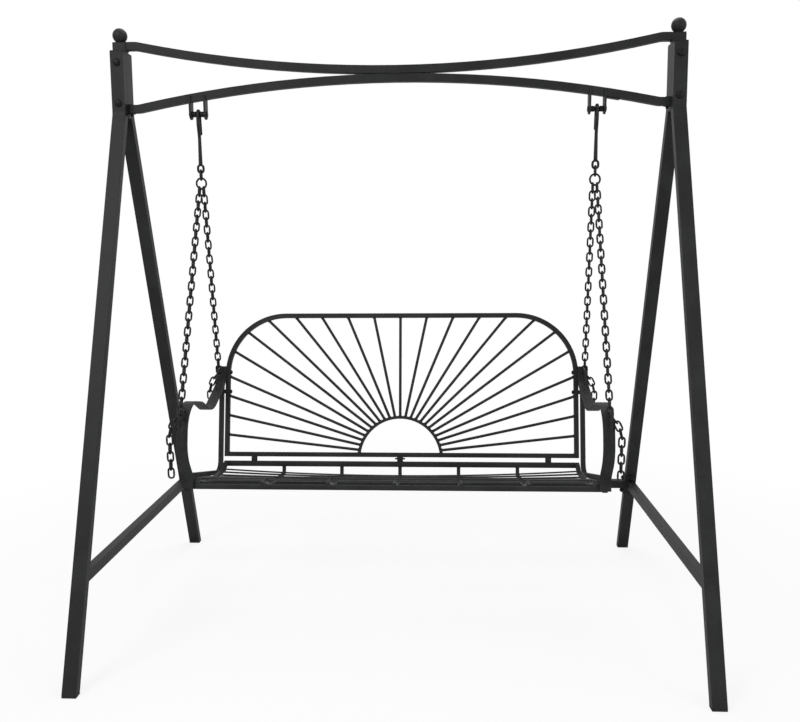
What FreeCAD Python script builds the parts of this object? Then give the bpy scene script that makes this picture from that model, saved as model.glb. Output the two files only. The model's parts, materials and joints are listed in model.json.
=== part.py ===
import FreeCAD, Part
import Sketcher
import math
import os
from FreeCAD import Placement, Rotation, Vector

# Garden swing seat: an A-frame stand of steel tube, with a sunburst-backed bench hung on chains.
# +X runs along the seat, +Y points to the back, +Z is up, and the floor is Z = 0.

os.makedirs("parts", exist_ok=True)
doc = FreeCAD.newDocument("SwingSeat")

driving_sizes = {
    # stand tubes, in millimetres and degrees
    "leg_wide": 40,
    "leg_deep": 25,
    "leg_wall": 1.5,
    "foot_spacing": 1704,
    "foot_reach": 573,
    "stand_lean": 0.5,
    "post_top": 1798,
    "post_length": 222,
    "leg_top_drop": 29,
    "leg_bend_drop": 213,
    "leg_bend_radius": 60,
    "cap_thick": 2,
    "plug_length": 14,
    "plug_play": 0.2,
    "foot_plug_thick": 6,
    "foot_plug_length": 30,
    "weld_play": 0.2,
    "cut_overrun": 60,
    # finials
    "ball_radius": 22,
    "ball_seat_angle": 65,
    "stud_radius": 4,
    # beams
    "beam_size": 24,
    "beam_wall": 1.5,
    "beam_stub": 30,
    "beam_kink_radius": 60,
    "beam_drop": 160,
    "beam_run_margin": 8,
    "beam_touch_gap": 0.2,
    "collar_wall": 1.5,
    "collar_length": 14,
    "splice_gap": 4.5,
    "splice_length": 38,
    "splice_thick": 3,
    # lower braces
    "brace_height": 285,
    "brace_wide": 25,
    "brace_tall": 30,
    "brace_wall": 1.5,
    "brace_plate_thick": 4,
    "brace_plate_length": 80,
    "brace_bolt_spacing": 58,
    # fasteners
    "post_bolt_radius": 5,
    "post_head_radius": 11,
    "post_head_height": 6,
    "post_bolt_upper_drop": 62,
    "post_bolt_lower_drop": 181,
    "nut_across": 17,
    "nut_thick": 8,
    "washer_radius": 11,
    "washer_thick": 2,
    "small_bolt_radius": 4,
    "small_head_radius": 7,
    "small_head_height": 4.5,
    "small_bolt_length": 13,
    "bolt_play": 0.2,
    "grub_radius": 4,
    "grub_length": 9,
    # hangers and hooks
    "hanger_inset": 10,
    "hanger_gap": 39,
    "hanger_thick": 6,
    "hanger_deep": 33,
    "hanger_grip": 18,
    "pin_drop": 212,
    "pin_radius": 5,
    "pin_head_radius": 8,
    "pin_head_thick": 3,
    "hook_radius": 5,
    "hook_play": 0.3,
    "hook_tail": 56,
    "hook_tail_splay": 5,
    "hook_neck": 28,
    "hook_sweep": 42,
    "hook_bend_radius": 30,
    "eye_drop": 163,
    "eye_long": 30,
    "eye_wide": 27,
    "eye_wire": 8,
    # chain
    "link_long": 36,
    "link_wide": 22,
    "link_wire": 5.5,
    "link_play": 0.3,
    "link_tilt_play": 0.6,
    "peg_slack": 3.5,
    "turn_slack": 0.9,
    "tail_turn": 40,
    "fork_long": 39,
    "fork_wide": 36.5,
    "fork_wire": 6,
    "fork_split": 6.25,
    # bench
    "bench_rear": 131.8,
    "bench_height": 451,
    "bench_tilt": 12,
    "bench_inset": 252,
    "rail_size": 15,
    "rail_wall": 1.2,
    "rail_end_radius": 24,
    "side_gap": 6.5,
    "side_bar": 15,
    "side_wall": 1.5,
    "side_top": 330,
    "side_rear_height": -32,
    "side_front_height": -17,
    "side_front": 362,
    "side_drop": 41,
    "side_bend_radius": 40,
    "side_nose_radius": 20,
    "front_place": 357,
    "front_bar": 20,
    "front_wall": 1.5,
    "rib_wide": 12,
    "rib_thick": 8,
    "rib_top": -28,
    "rib_bend_radius": 14,
    "rib_rise_radius": 60,
    "rib_rise_start": 240,
    "rib_rise_end": 330,
    "seat_dish": 17,
    "slat_wide": 25,
    "slat_thick": 4,
    "slat_first": 30,
    "slat_pitch": 47,
    # back panel
    "back_rise": 30,
    "back_tall": 482,
    "back_corner_radius": 200,
    "spacer_radius": 10,
    "back_bolt_upper": 310,
    "back_bolt_lower": 243.5,
    "side_nut_gap": 0.5,
    "sun_radius": 140,
    "sun_bar": 10,
    "sun_drop": 13,
    "ray_radius": 4,
    "ray_first_angle": 12,
    "ray_side_pitch": 67,
    "ray_corner_step": 23.5,
    # arms
    "arm_wide": 34,
    "arm_thick": 5,
    "arm_rear_low": 276,
    "arm_dip_run": 172,
    "arm_dip_height": 178,
    "arm_crest_run": 285,
    "arm_crest_height": 203,
    "arm_front_run": 436,
    "arm_front_low": 45,
    "arm_foot_height": -18,
    "arm_foot_end": -54,
    "arm_rear_radius": 35,
    "arm_dip_radius": 45,
    "arm_crest_radius": 150,
    "arm_front_radius": 90,
    "arm_return_radius": 70,
    "arm_foot_radius": 30,
    "peg_radius": 3.5,
    "peg_reach": 31,
    "peg_bend_radius": 9,
    "front_peg_height": 176,
    "front_peg_drop": 88,
    "rear_peg_height": 310,
    "rear_peg_drop": 40,
    "rear_peg_length": 51,
    "rear_peg_fall": 18,
}

sheet = doc.addObject("Spreadsheet::Sheet", "Sizes")
for row, (alias, number) in enumerate(driving_sizes.items(), 1):
    sheet.set(f"A{row}", alias)
    sheet.set(f"B{row}", str(number))
    sheet.setAlias(f"B{row}", alias)
doc.recompute()


class Size:
    # A number from the sheet together with the expression that gives it.
    def __init__(self, number, text):
        self.number = number
        self.text = text

    def join(self, other, mark, number):
        return Size(number, f"({self.text} {mark} {size_of(other).text})")

    def __add__(self, other):
        return self.join(other, "+", self.number + size_of(other).number)

    def __sub__(self, other):
        return self.join(other, "-", self.number - size_of(other).number)

    def __mul__(self, other):
        return self.join(other, "*", self.number * size_of(other).number)

    def __truediv__(self, other):
        return self.join(other, "/", self.number / size_of(other).number)

    def __neg__(self):
        return Size(-self.number, f"(0 - {self.text})")


def root(value):
    return Size(math.sqrt(value.number), f"sqrt({value.text})")


def size_of(value):
    return value if isinstance(value, Size) else Size(float(value), f"({float(value)})")


class SheetSizes:
    def __getattr__(self, alias):
        return Size(float(sheet.get(alias)), f"Sizes.{alias}")


def sine(angle):
    return Size(math.sin(math.radians(angle.number)), f"sin({angle.text})")


def cosine(angle):
    return Size(math.cos(math.radians(angle.number)), f"cos({angle.text})")


def tangent(angle):
    return Size(math.tan(math.radians(angle.number)), f"tan({angle.text})")


def hypotenuse(a, b):
    return Size(math.hypot(a.number, b.number), f"sqrt({a.text} * {a.text} + {b.text} * {b.text})")


s = SheetSizes()
zero = size_of(0)
sides = (("left", -1), ("right", 1))
x_axis = Vector(1, 0, 0)
y_axis = Vector(0, 1, 0)
z_axis = Vector(0, 0, 1)
nodes = {}

# Heights that hang from the top of the posts, and places across that follow the stand's width
post_foot = s.post_top - s.post_length
leg_top = s.post_top - s.leg_top_drop
leg_bend = s.post_top - s.leg_bend_drop
pin_height = s.post_top - s.pin_drop
eye_height = pin_height - s.eye_drop
rail_half = s.foot_spacing / 2 - s.bench_inset
side_place = rail_half + s.side_gap + s.side_bar / 2
hanger_place = side_place - s.hanger_inset
spacer_place_share = 0.83
spacer_place = rail_half * spacer_place_share


def bind(item, **values):
    for name, value in values.items():
        setattr(item, name, size_of(value).number)
        item.setExpression(name, size_of(value).text)


def put(item, x=0, y=0, z=0, axis=z_axis, angle=0):
    places = [size_of(value) for value in (x, y, z)]
    turn = size_of(angle)
    item.Placement = Placement(Vector(*[place.number for place in places]), Rotation(axis, turn.number))
    for letter, place in zip("xyz", places):
        item.setExpression(f"Placement.Base.{letter}", place.text)
    item.setExpression("Placement.Rotation.Angle", turn.text)
    return item


def on_side(item, sign, x=0, y=0, z=0):
    # Side frames lean inwards about their feet, so their pieces share one leaning frame.
    lean = s.stand_lean
    across = s.foot_spacing * sign / 2 + size_of(x) * cosine(lean) - size_of(z) * sine(lean) * sign
    up = size_of(z) * cosine(lean) + size_of(x) * sine(lean) * sign
    return put(item, across, y, up, y_axis, lean * -sign)


def on_bench(item, x=0, y=0, z=0):
    # Bench pieces share a frame on the seat's rear rail that is tilted back with the bench.
    tilt = s.bench_tilt
    back = s.bench_rear + size_of(y) * cosine(tilt) + size_of(z) * sine(tilt)
    up = s.bench_height - size_of(y) * sine(tilt) + size_of(z) * cosine(tilt)
    return put(item, x, back, up, x_axis, -tilt)


def side_frame(sign):
    lean = Rotation(y_axis, -sign * s.stand_lean.number)
    return Placement(Vector(sign * s.foot_spacing.number / 2, 0, 0), lean)


bench_frame = Placement(
    Vector(0, s.bench_rear.number, s.bench_height.number), Rotation(x_axis, -s.bench_tilt.number)
)


def new_body(name):
    return doc.addObject("PartDesign::Body", name)


def new_sketch(body, name, role, offset=None):
    sketch = body.newObject("Sketcher::SketchObject", name)
    plane = next(item for item in body.Origin.OriginFeatures if item.Role == role)
    sketch.AttachmentSupport = (plane, [""])
    sketch.MapMode = "FlatFace"
    if offset is not None:
        sketch.setExpression("AttachmentOffset.Base.z", size_of(offset).text)
    return sketch


def fix_point(sketch, geometry, position, x, y):
    for kind, value in (("DistanceX", size_of(x)), ("DistanceY", size_of(y))):
        index = sketch.addConstraint(
            Sketcher.Constraint(kind, -1, 1, geometry, position, value.number)
        )
        sketch.setExpression(f"Constraints[{index}]", value.text)


def draw_polygon(sketch, points):
    spots = [Vector(size_of(x).number, size_of(y).number, 0) for x, y in points]
    edges = []
    for start, end in zip(spots, spots[1:] + spots[:1]):
        edges.append(sketch.addGeometry(Part.LineSegment(start, end), False))
    for edge, after in zip(edges, edges[1:] + edges[:1]):
        sketch.addConstraint(Sketcher.Constraint("Coincident", edge, 2, after, 1))
    for edge, (x, y) in zip(edges, points):
        fix_point(sketch, edge, 1, x, y)
    return edges


def draw_box(sketch, width, height, x=0, y=0):
    x = size_of(x)
    y = size_of(y)
    half_width = size_of(width) / 2
    half_height = size_of(height) / 2
    draw_polygon(sketch, [
        (x - half_width, y - half_height),
        (x + half_width, y - half_height),
        (x + half_width, y + half_height),
        (x - half_width, y + half_height),
    ])


def draw_tube(sketch, width, height, wall, x=0, y=0):
    draw_box(sketch, width, height, x, y)
    draw_box(sketch, width - wall * 2, height - wall * 2, x, y)


def draw_circle(sketch, radius, x=0, y=0):
    spot = Vector(size_of(x).number, size_of(y).number, 0)
    circle = sketch.addGeometry(Part.Circle(spot, z_axis, radius.number), False)
    index = sketch.addConstraint(Sketcher.Constraint("Radius", circle, radius.number))
    sketch.setExpression(f"Constraints[{index}]", radius.text)
    fix_point(sketch, circle, 3, x, y)


# Small rods and bores have eight sides: a rod with its corners on its radius, a bore with its flats on it
round_sides = 8
half_side_turn = size_of(180) / round_sides


def draw_rod(sketch, radius, x=0, y=0):
    turns = [half_side_turn * (2 * k + 1) for k in range(round_sides)]
    draw_polygon(sketch, [(radius * cosine(turn) + x, radius * sine(turn) + y) for turn in turns])


def draw_bore(sketch, radius, x=0, y=0):
    draw_rod(sketch, radius / cosine(half_side_turn), x, y)


def prism(name, radius, length):
    item = doc.addObject("Part::Prism", name)
    item.Polygon = round_sides
    bind(item, Circumradius=radius, Height=length)
    return item


def draw_bent_line(sketch, corners, radii):
    # Straight runs joined by tangent arcs, one arc inside each corner.
    spots = [Vector(size_of(x).number, size_of(y).number, 0) for x, y in corners]
    bends = []
    for before, corner, after, radius in zip(spots, spots[1:], spots[2:], radii):
        back = (before - corner).normalize()
        ahead = (after - corner).normalize()
        half = back.getAngle(ahead) / 2
        setback = radius.number / math.tan(half)
        centre = corner + (back + ahead).normalize() * (radius.number / math.sin(half))
        bends.append((corner + back * setback, corner + ahead * setback, centre))
    starts = spots[:1] + [bend[1] for bend in bends]
    ends = [bend[0] for bend in bends] + spots[-1:]
    runs = [sketch.addGeometry(Part.LineSegment(a, b), False) for a, b in zip(starts, ends)]
    fix_point(sketch, runs[0], 1, *corners[0])
    fix_point(sketch, runs[-1], 2, *corners[-1])
    for index, (first, last, centre) in enumerate(bends):
        radius = radii[index]
        begin = math.atan2(first.y - centre.y, first.x - centre.x)
        finish = math.atan2(last.y - centre.y, last.x - centre.x)
        turn = (finish - begin) % (2 * math.pi)
        forward = turn < math.pi
        circle = Part.Circle(centre, z_axis, radius.number)
        if forward:
            arc = Part.ArcOfCircle(circle, begin, begin + turn)
        else:
            arc = Part.ArcOfCircle(circle, finish, finish + 2 * math.pi - turn)
        bend = sketch.addGeometry(arc, False)
        entry, leave = (1, 2) if forward else (2, 1)
        sketch.addConstraint(Sketcher.Constraint("Tangent", runs[index], 2, bend, entry))
        sketch.addConstraint(Sketcher.Constraint("Tangent", runs[index + 1], 1, bend, leave))
        number = sketch.addConstraint(Sketcher.Constraint("Radius", bend, radius.number))
        sketch.setExpression(f"Constraints[{number}]", radius.text)
        point = sketch.addGeometry(Part.Point(spots[index + 1]), True)
        fix_point(sketch, point, 1, *corners[index + 1])
        sketch.addConstraint(Sketcher.Constraint("PointOnObject", point, 1, runs[index]))
        sketch.addConstraint(Sketcher.Constraint("PointOnObject", point, 1, runs[index + 1]))


def pad(body, sketch, length, midplane=False):
    feature = body.newObject("PartDesign::Pad", f"{sketch.Name}_pad")
    feature.Profile = sketch
    feature.Midplane = midplane
    bind(feature, Length=length)
    return feature


def pocket_through(body, sketch):
    # Cuts both ways from the sketch's plane, so it can't point away from the solid.
    feature = body.newObject("PartDesign::Pocket", f"{sketch.Name}_pocket")
    feature.Profile = sketch
    feature.Type = "ThroughAll"
    feature.Midplane = True
    return feature


def sweep(body, profile, spine):
    feature = body.newObject("PartDesign::AdditivePipe", f"{spine.Name}_pipe")
    feature.Profile = (profile, [""])
    feature.Spine = (spine, [])
    return feature


def boolean(kind, name, **links):
    item = doc.addObject(kind, name)
    for link, value in links.items():
        setattr(item, link, value)
    return item


def copies(name, source, placements):
    # One node of identical pieces: copies of a finished shape at the given placements.
    doc.recompute()
    pieces = []
    for placement in placements:
        piece = source.Shape.copy()
        piece.Placement = placement
        pieces.append(piece)
    item = doc.addObject("Part::Feature", name)
    item.Shape = Part.makeCompound(pieces)
    return item


def bores(name, radius, length, placements):
    # Drills, centred on their placements and pointing along their own Z.
    drills = []
    for placement in placements:
        drill = prism(f"{name}_drill", radius / cosine(half_side_turn), length)
        middle = Placement(Vector(0, 0, -length.number / 2), Rotation())
        drill.Placement = placement.multiply(middle)
        drills.append(drill)
    return boolean("Part::Compound", f"{name}_drills", Links=drills)


def drilled(name, base, drills):
    return boolean("Part::Cut", name, Base=base, Tool=drills)


def node(name, item):
    item.Label = name
    nodes[name] = item
    return item


def skin(rings):
    # Flat faces between each ring of points and the next, from the first to the last
    faces = []
    for ring, following in zip(rings, rings[1:]):
        for k, corner in enumerate(ring):
            after = (k + 1) % len(ring)
            spots = [corner, ring[after], following[after], following[k]]
            spots = [spot for index, spot in enumerate(spots) if spot.distanceToPoint(spots[index - 1]) > 0]
            faces.append(Part.Face(Part.makePolygon(spots + spots[:1])))
    return faces


def closed(faces):
    shell = Part.Compound(faces)
    shell.sewShape()
    solid = Part.Solid(shell.Shells[0])
    if solid.Volume < 0:
        solid.reverse()
    return solid


def turned(stations, sides_round):
    # A faceted turned solid about Z from (radius, height) stations, the lowest first
    steps = [2 * math.pi * k / sides_round for k in range(sides_round)]
    rings = [
        [Vector(radius * math.cos(step), radius * math.sin(step), height) for step in steps]
        for radius, height in stations
    ]
    faces = skin(rings)
    for ring, (radius, height) in ((rings[0], stations[0]), (rings[-1], stations[-1])):
        if radius > 0:
            faces.append(Part.Face(Part.makePolygon(ring + ring[:1])))
    return closed(faces)


# One chord of a bent wire turns through no more than this
chord_turn = math.radians(30)


def bent_points(corners, radii):
    # The points of a bent line, with each bend drawn as a few chords
    points = [corners[0]]
    for before, corner, after, radius in zip(corners, corners[1:], corners[2:], radii):
        back = (before - corner).normalize()
        ahead = (after - corner).normalize()
        half = back.getAngle(ahead) / 2
        centre = corner + (back + ahead).normalize() * (radius / math.sin(half))
        first = corner + back * (radius / math.tan(half)) - centre
        last = corner + ahead * (radius / math.tan(half)) - centre
        whole = first.getAngle(last)
        steps = math.ceil(whole / chord_turn)
        for k in range(steps + 1):
            arm = first * math.sin(whole * (1 - k / steps)) + last * math.sin(whole * k / steps)
            spot = centre + arm * (1 / math.sin(whole))
            if spot.distanceToPoint(points[-1]) > s.weld_play.number:
                points.append(spot)
    points.append(corners[-1])
    return points


def wire_rings(route, radius, section_sides, across, is_loop):
    # Rings of corners round a wire at each point of its route; across is square to the plane of its bends
    turns = [(k + 0.5) * 2 * math.pi / section_sides for k in range(section_sides)]
    rings = []
    for index, here in enumerate(route):
        starts = index == 0 and not is_loop
        ends = index == len(route) - 1 and not is_loop
        leave = here - route[index - 1] if ends else route[(index + 1) % len(route)] - here
        enter = leave if starts else here - route[index - 1]
        along = Vector(enter).normalize() + Vector(leave).normalize()
        along.normalize()
        side = across.cross(along)
        mitre = 1 / along.dot(Vector(enter).normalize())
        rings.append([
            here + side * (radius * math.cos(turn) * mitre) + across * (radius * math.sin(turn))
            for turn in turns
        ])
    return rings


def bent_wire(name, corners, radii, radius):
    # A solid eight-sided wire bent in the YZ plane, from corners and bend radii in sizes
    spots = [Vector(0, size_of(y).number, size_of(z).number) for y, z in corners]
    route = bent_points(spots, [bend.number for bend in radii])
    rings = wire_rings(route, radius.number, round_sides, x_axis, False)
    lids = [Part.Face(Part.makePolygon(ring + ring[:1])) for ring in (rings[0], rings[-1])]
    item = doc.addObject("Part::Feature", name)
    item.Shape = closed(skin(rings) + lids)
    return item


dome_shares = ((1, 0), (0.8, 0.6), (0.4, 1))


def dome_bolt(name, radius, length, head_radius, head_height):
    # Shank along -Z from the head's seat at Z = 0, with a domed head above it
    stations = [(radius.number, -length.number), (radius.number, 0)]
    stations += [(head_radius.number * wide, head_height.number * high) for wide, high in dome_shares]
    bolt = doc.addObject("Part::Feature", name)
    bolt.Shape = turned(stations, round_sides)
    return bolt


# Where the legs stand, seen from the side: straight from the bend down to the foot
def leg_centre(height):
    return s.leg_deep + (s.foot_reach - s.leg_deep) * (leg_bend - height) / leg_bend


leg_rake_tangent = (s.foot_reach - s.leg_deep) / leg_bend
leg_rake_secant = hypotenuse(leg_rake_tangent, size_of(1))
rake_degrees = math.degrees(math.atan(leg_rake_tangent.number))
post_half = s.leg_deep / 2


def post_inner_face(height):
    # X of the leaning posts' inner faces at a height above the floor
    return s.foot_spacing / 2 - s.leg_wide / 2 / cosine(s.stand_lean) - height * tangent(s.stand_lean)


# Bolt places in a side frame: along Y through legs and post, and square to each raked leg
post_bolt_heights = (s.post_top - s.post_bolt_upper_drop, s.post_top - s.post_bolt_lower_drop)


def post_bolt_frames(sign, reach):
    frames = []
    for height in post_bolt_heights:
        local = Placement(Vector(0, reach, height.number), Rotation(x_axis, 90))
        frames.append(side_frame(sign).multiply(local))
    return frames


def rake_frame(sign, end, along, outward):
    # On a raked leg's centre line at the brace: Z points from the leg's inner face to the brace.
    direction = Vector(0, -end * math.cos(math.radians(rake_degrees)), -math.sin(math.radians(rake_degrees)))
    down = Vector(0, end * math.sin(math.radians(rake_degrees)), -math.cos(math.radians(rake_degrees)))
    centre = Vector(0, end * leg_centre(s.brace_height).number, s.brace_height.number)
    spot = centre + direction * outward - down * along
    turn = Rotation(z_axis, direction)
    return side_frame(sign).multiply(Placement(spot, turn))


# Side frames: a post between two legs, the legs bent out to the floor
def make_post(side, sign):
    body = new_body(f"{side}_post_tube")
    profile = new_sketch(body, f"{side}_post_profile", "XY_Plane", post_foot)
    draw_tube(profile, s.leg_wide, s.leg_deep, s.leg_wall)
    pad(body, profile, s.post_top - post_foot)
    on_side(body, sign)
    drills = bores(
        f"{side}_post", s.post_bolt_radius + s.bolt_play, s.leg_deep * 2, post_bolt_frames(sign, 0)
    )
    node(f"{side}_post", drilled(f"{side}_post_drilled", body, drills))


def make_leg(side, sign, end_name, end):
    name = f"{side}_{end_name}_leg"
    body = new_body(f"{name}_tube")
    spine = new_sketch(body, f"{name}_spine", "YZ_Plane")
    below_floor = -s.cut_overrun
    corners = [
        (s.leg_deep * end, leg_top),
        (s.leg_deep * end, leg_bend),
        (leg_centre(below_floor) * end, below_floor),
    ]
    draw_bent_line(spine, corners, [s.leg_bend_radius])
    profile = new_sketch(body, f"{name}_profile", "XY_Plane", leg_top)
    draw_tube(profile, s.leg_wide, s.leg_deep, s.leg_wall, 0, s.leg_deep * end)
    sweep(body, profile, spine)
    trim = new_sketch(body, f"{name}_trim", "YZ_Plane")
    draw_box(
        trim, s.foot_reach, s.cut_overrun * 2,
        s.foot_reach * end, s.foot_plug_thick - s.cut_overrun,
    )
    pocket_through(body, trim)
    on_side(body, sign)
    post_drills = bores(
        f"{name}_post", s.post_bolt_radius + s.bolt_play, s.leg_deep * 4, post_bolt_frames(sign, 0)
    )
    face = s.leg_deep.number / 2
    offsets = [s.brace_bolt_spacing.number / 2, -s.brace_bolt_spacing.number / 2]
    brace_drills = bores(
        f"{name}_brace", s.small_bolt_radius + s.bolt_play, s.leg_wall * 4,
        [rake_frame(sign, end, offset, face) for offset in offsets],
    )
    tools = [post_drills, brace_drills]
    if end > 0:
        tools.append(bores(
            f"{name}_stretcher", s.small_bolt_radius + s.bolt_play, s.leg_wall * 4,
            [stretcher_frame(sign, offset, 0) for offset in offsets],
        ))
    drills = boolean("Part::Compound", f"{name}_drills", Links=tools)
    node(name, drilled(f"{name}_drilled", body, drills))


def stretcher_frame(sign, along, inward):
    # On the rear leg's inner X face at the stretcher: Z points towards the middle of the stand.
    rake = math.radians(rake_degrees)
    up = Vector(0, -math.sin(rake), math.cos(rake))
    centre = Vector(0, leg_centre(s.brace_height).number, s.brace_height.number)
    face = Vector(-sign * (s.leg_wide.number / 2 + inward), 0, 0)
    turn = Rotation(z_axis, Vector(-sign, 0, 0))
    return side_frame(sign).multiply(Placement(centre + up * along + face, turn))


def make_cap(name):
    # A pressed plug: a flat lid over the tube's end and a snug shank inside it
    body = new_body(name)
    lid = new_sketch(body, f"{name}_lid", "XY_Plane")
    draw_box(lid, s.leg_wide, s.leg_deep)
    pad(body, lid, s.cap_thick)
    shank = new_sketch(body, f"{name}_shank", "XY_Plane")
    play = (s.leg_wall + s.plug_play) * 2
    draw_box(shank, s.leg_wide - play, s.leg_deep - play)
    shank_pad = pad(body, shank, s.plug_length)
    shank_pad.Reversed = True
    return body


def make_caps():
    plain = make_cap("leg_cap_pattern")
    spots = []
    for side, sign in sides:
        for end in (-1, 1):
            local = Placement(Vector(0, end * s.leg_deep.number, leg_top.number), Rotation())
            spots.append(side_frame(sign).multiply(local))
    node("leg_caps", copies("leg_caps_set", plain, spots))
    bored = make_cap("post_cap_pattern")
    hole = new_sketch(bored, "post_cap_hole", "XY_Plane")
    draw_bore(hole, s.stud_radius + s.bolt_play)
    pocket_through(bored, hole)
    spots = []
    for side, sign in sides:
        local = Placement(Vector(0, 0, s.post_top.number), Rotation())
        spots.append(side_frame(sign).multiply(local))
    node("post_caps", copies("post_caps_set", bored, spots))


ball_sides = 16
ball_bands = 7


def make_finials():
    radius = s.ball_radius.number
    rise = radius * math.sin(math.radians(s.ball_seat_angle.number))
    stations = [(s.stud_radius.number, -s.plug_length.number), (s.stud_radius.number, 0)]
    sweep_angle = 90 + s.ball_seat_angle.number
    for band in range(ball_bands + 1):
        angle = math.radians(sweep_angle * band / ball_bands - s.ball_seat_angle.number)
        across = radius * math.cos(angle) if band < ball_bands else 0
        stations.append((across, rise + radius * math.sin(angle)))
    for side, sign in sides:
        ball = doc.addObject("Part::Feature", f"{side}_ball")
        ball.Shape = turned(stations, ball_sides)
        node(f"{side}_finial", on_side(ball, sign, 0, 0, s.post_top + s.cap_thick))


def make_foot_plugs():
    # Each plug's sole is cut level with the floor, though its tube is raked and leans.
    plugs = []
    for side, sign in sides:
        for end in (-1, 1):
            name = f"foot_plug_{side}_{'front' if end < 0 else 'rear'}"
            body = new_body(name)
            sole = new_sketch(body, f"{name}_sole", "XY_Plane", -s.cap_thick)
            centre = leg_centre(s.foot_plug_thick) * end
            draw_box(sole, s.leg_wide, s.leg_deep * leg_rake_secant, 0, centre)
            pad(body, sole, s.foot_plug_thick + s.cap_thick)
            top = s.foot_plug_thick + s.foot_plug_length
            shank = new_sketch(body, f"{name}_shank", "YZ_Plane")
            half = (s.leg_deep / 2 - s.leg_wall - s.plug_play) * leg_rake_secant
            base_y = leg_centre(s.foot_plug_thick) * end
            top_y = leg_centre(top) * end
            draw_polygon(shank, [
                (base_y - half, s.foot_plug_thick), (base_y + half, s.foot_plug_thick),
                (top_y + half, top), (top_y - half, top),
            ])
            pad(body, shank, s.leg_wide - (s.leg_wall + s.plug_play) * 2, midplane=True)
            plugs.append(on_side(body, sign))
    group = boolean("Part::Compound", "foot_plug_group", Links=plugs)
    floor = doc.addObject("Part::Box", "floor_trim")
    bind(
        floor, Length=s.foot_spacing * 2, Width=s.foot_reach * 4, Height=s.cut_overrun,
    )
    put(floor, -s.foot_spacing, s.foot_reach * -2, -s.cut_overrun)
    node("foot_plugs", boolean("Part::Cut", "foot_plugs_level", Base=group, Tool=floor))


# Beams: two bowed tubes that meet and are welded at mid-span
upper_beam_height = s.post_top + s.cap_thick - s.beam_size / 2
beam_bow_half = post_inner_face(upper_beam_height) - s.beam_stub
beam_slope_run = hypotenuse(beam_bow_half, s.beam_drop)
beam_radius = (beam_slope_run - s.beam_run_margin) * beam_bow_half / s.beam_drop
beam_sag = s.beam_drop - (beam_slope_run - s.beam_run_margin) * (beam_slope_run - beam_bow_half) / s.beam_drop
lower_beam_height = upper_beam_height - s.beam_size - s.beam_touch_gap - beam_sag * 2


def make_beam(name, height, bow):
    body = new_body(name)
    end = post_inner_face(height) - s.weld_play
    spine = new_sketch(body, f"{name}_spine", "XZ_Plane")
    corners = [
        (-end, height), (-beam_bow_half, height), (zero, height + s.beam_drop * bow),
        (beam_bow_half, height), (end, height),
    ]
    draw_bent_line(spine, corners, [s.beam_kink_radius, beam_radius, s.beam_kink_radius])
    profile = new_sketch(body, f"{name}_profile", "YZ_Plane", -end)
    draw_tube(profile, s.beam_size, s.beam_size, s.beam_wall, 0, height)
    sweep(body, profile, spine)
    return body


def lower_beam_at(place):
    # Centre height and slope of the lower beam's bow at an X place
    middle = lower_beam_height.number + beam_sag.number
    radius = beam_radius.number
    height = middle - radius + math.sqrt(radius ** 2 - place ** 2)
    return height, math.degrees(math.asin(place / radius))


def make_beams():
    node("upper_beam", make_beam("upper_beam_tube", upper_beam_height, -1))
    node("lower_beam", make_beam("lower_beam_tube", lower_beam_height, 1))
    collars = []
    grubs = []
    inner = s.beam_size + s.weld_play * 2
    for side, sign in sides:
        body = new_body(f"{side}_collar")
        profile = new_sketch(body, f"{side}_collar_profile", "YZ_Plane")
        draw_tube(profile, inner + s.collar_wall * 2, inner + s.collar_wall * 2, s.collar_wall)
        pad(body, profile, s.collar_length, midplane=True)
        across = post_inner_face(lower_beam_height) - s.weld_play - s.collar_length / 2
        put(body, across * sign, 0, lower_beam_height)
        collars.append(body)
        grub = prism(f"{side}_grub", s.grub_radius, s.grub_length)
        under = lower_beam_height - s.beam_size / 2 - s.grub_length - s.weld_play / 2
        put(grub, across * sign, 0, under)
        grubs.append(grub)
    grub_holes = []
    for side, sign in sides:
        wide = (s.grub_radius + s.weld_play / 2) / cosine(half_side_turn)
        hole = prism(f"{side}_grub_hole", wide, s.beam_size)
        across = post_inner_face(lower_beam_height) - s.weld_play - s.collar_length / 2
        put(hole, across * sign, 0, lower_beam_height - s.beam_size * 3 / 2)
        grub_holes.append(hole)
    tool = boolean("Part::Compound", "grub_holes", Links=grub_holes)
    base = boolean("Part::Compound", "collar_pair", Links=collars)
    node("beam_collars", boolean("Part::Cut", "collars_tapped", Base=base, Tool=tool))
    node("collar_screws", boolean("Part::Compound", "grub_pair", Links=grubs))
    place = hanger_place + s.hanger_gap / 2 + s.hanger_thick + s.splice_gap + s.splice_length / 2
    height, slope = lower_beam_at(place.number)
    plate = doc.addObject("Part::Box", "splice_plate_bar")
    bind(plate, Length=s.splice_length, Width=s.beam_size, Height=s.splice_thick)
    frame = Placement(Vector(place.number, 0, height), Rotation(y_axis, slope))
    drop = s.beam_size.number / 2 + s.splice_thick.number + s.weld_play.number
    corner = Vector(-s.splice_length.number / 2, -s.beam_size.number / 2, -drop)
    plate.Placement = frame.multiply(Placement(corner, Rotation()))
    node("splice_plate", plate)


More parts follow.
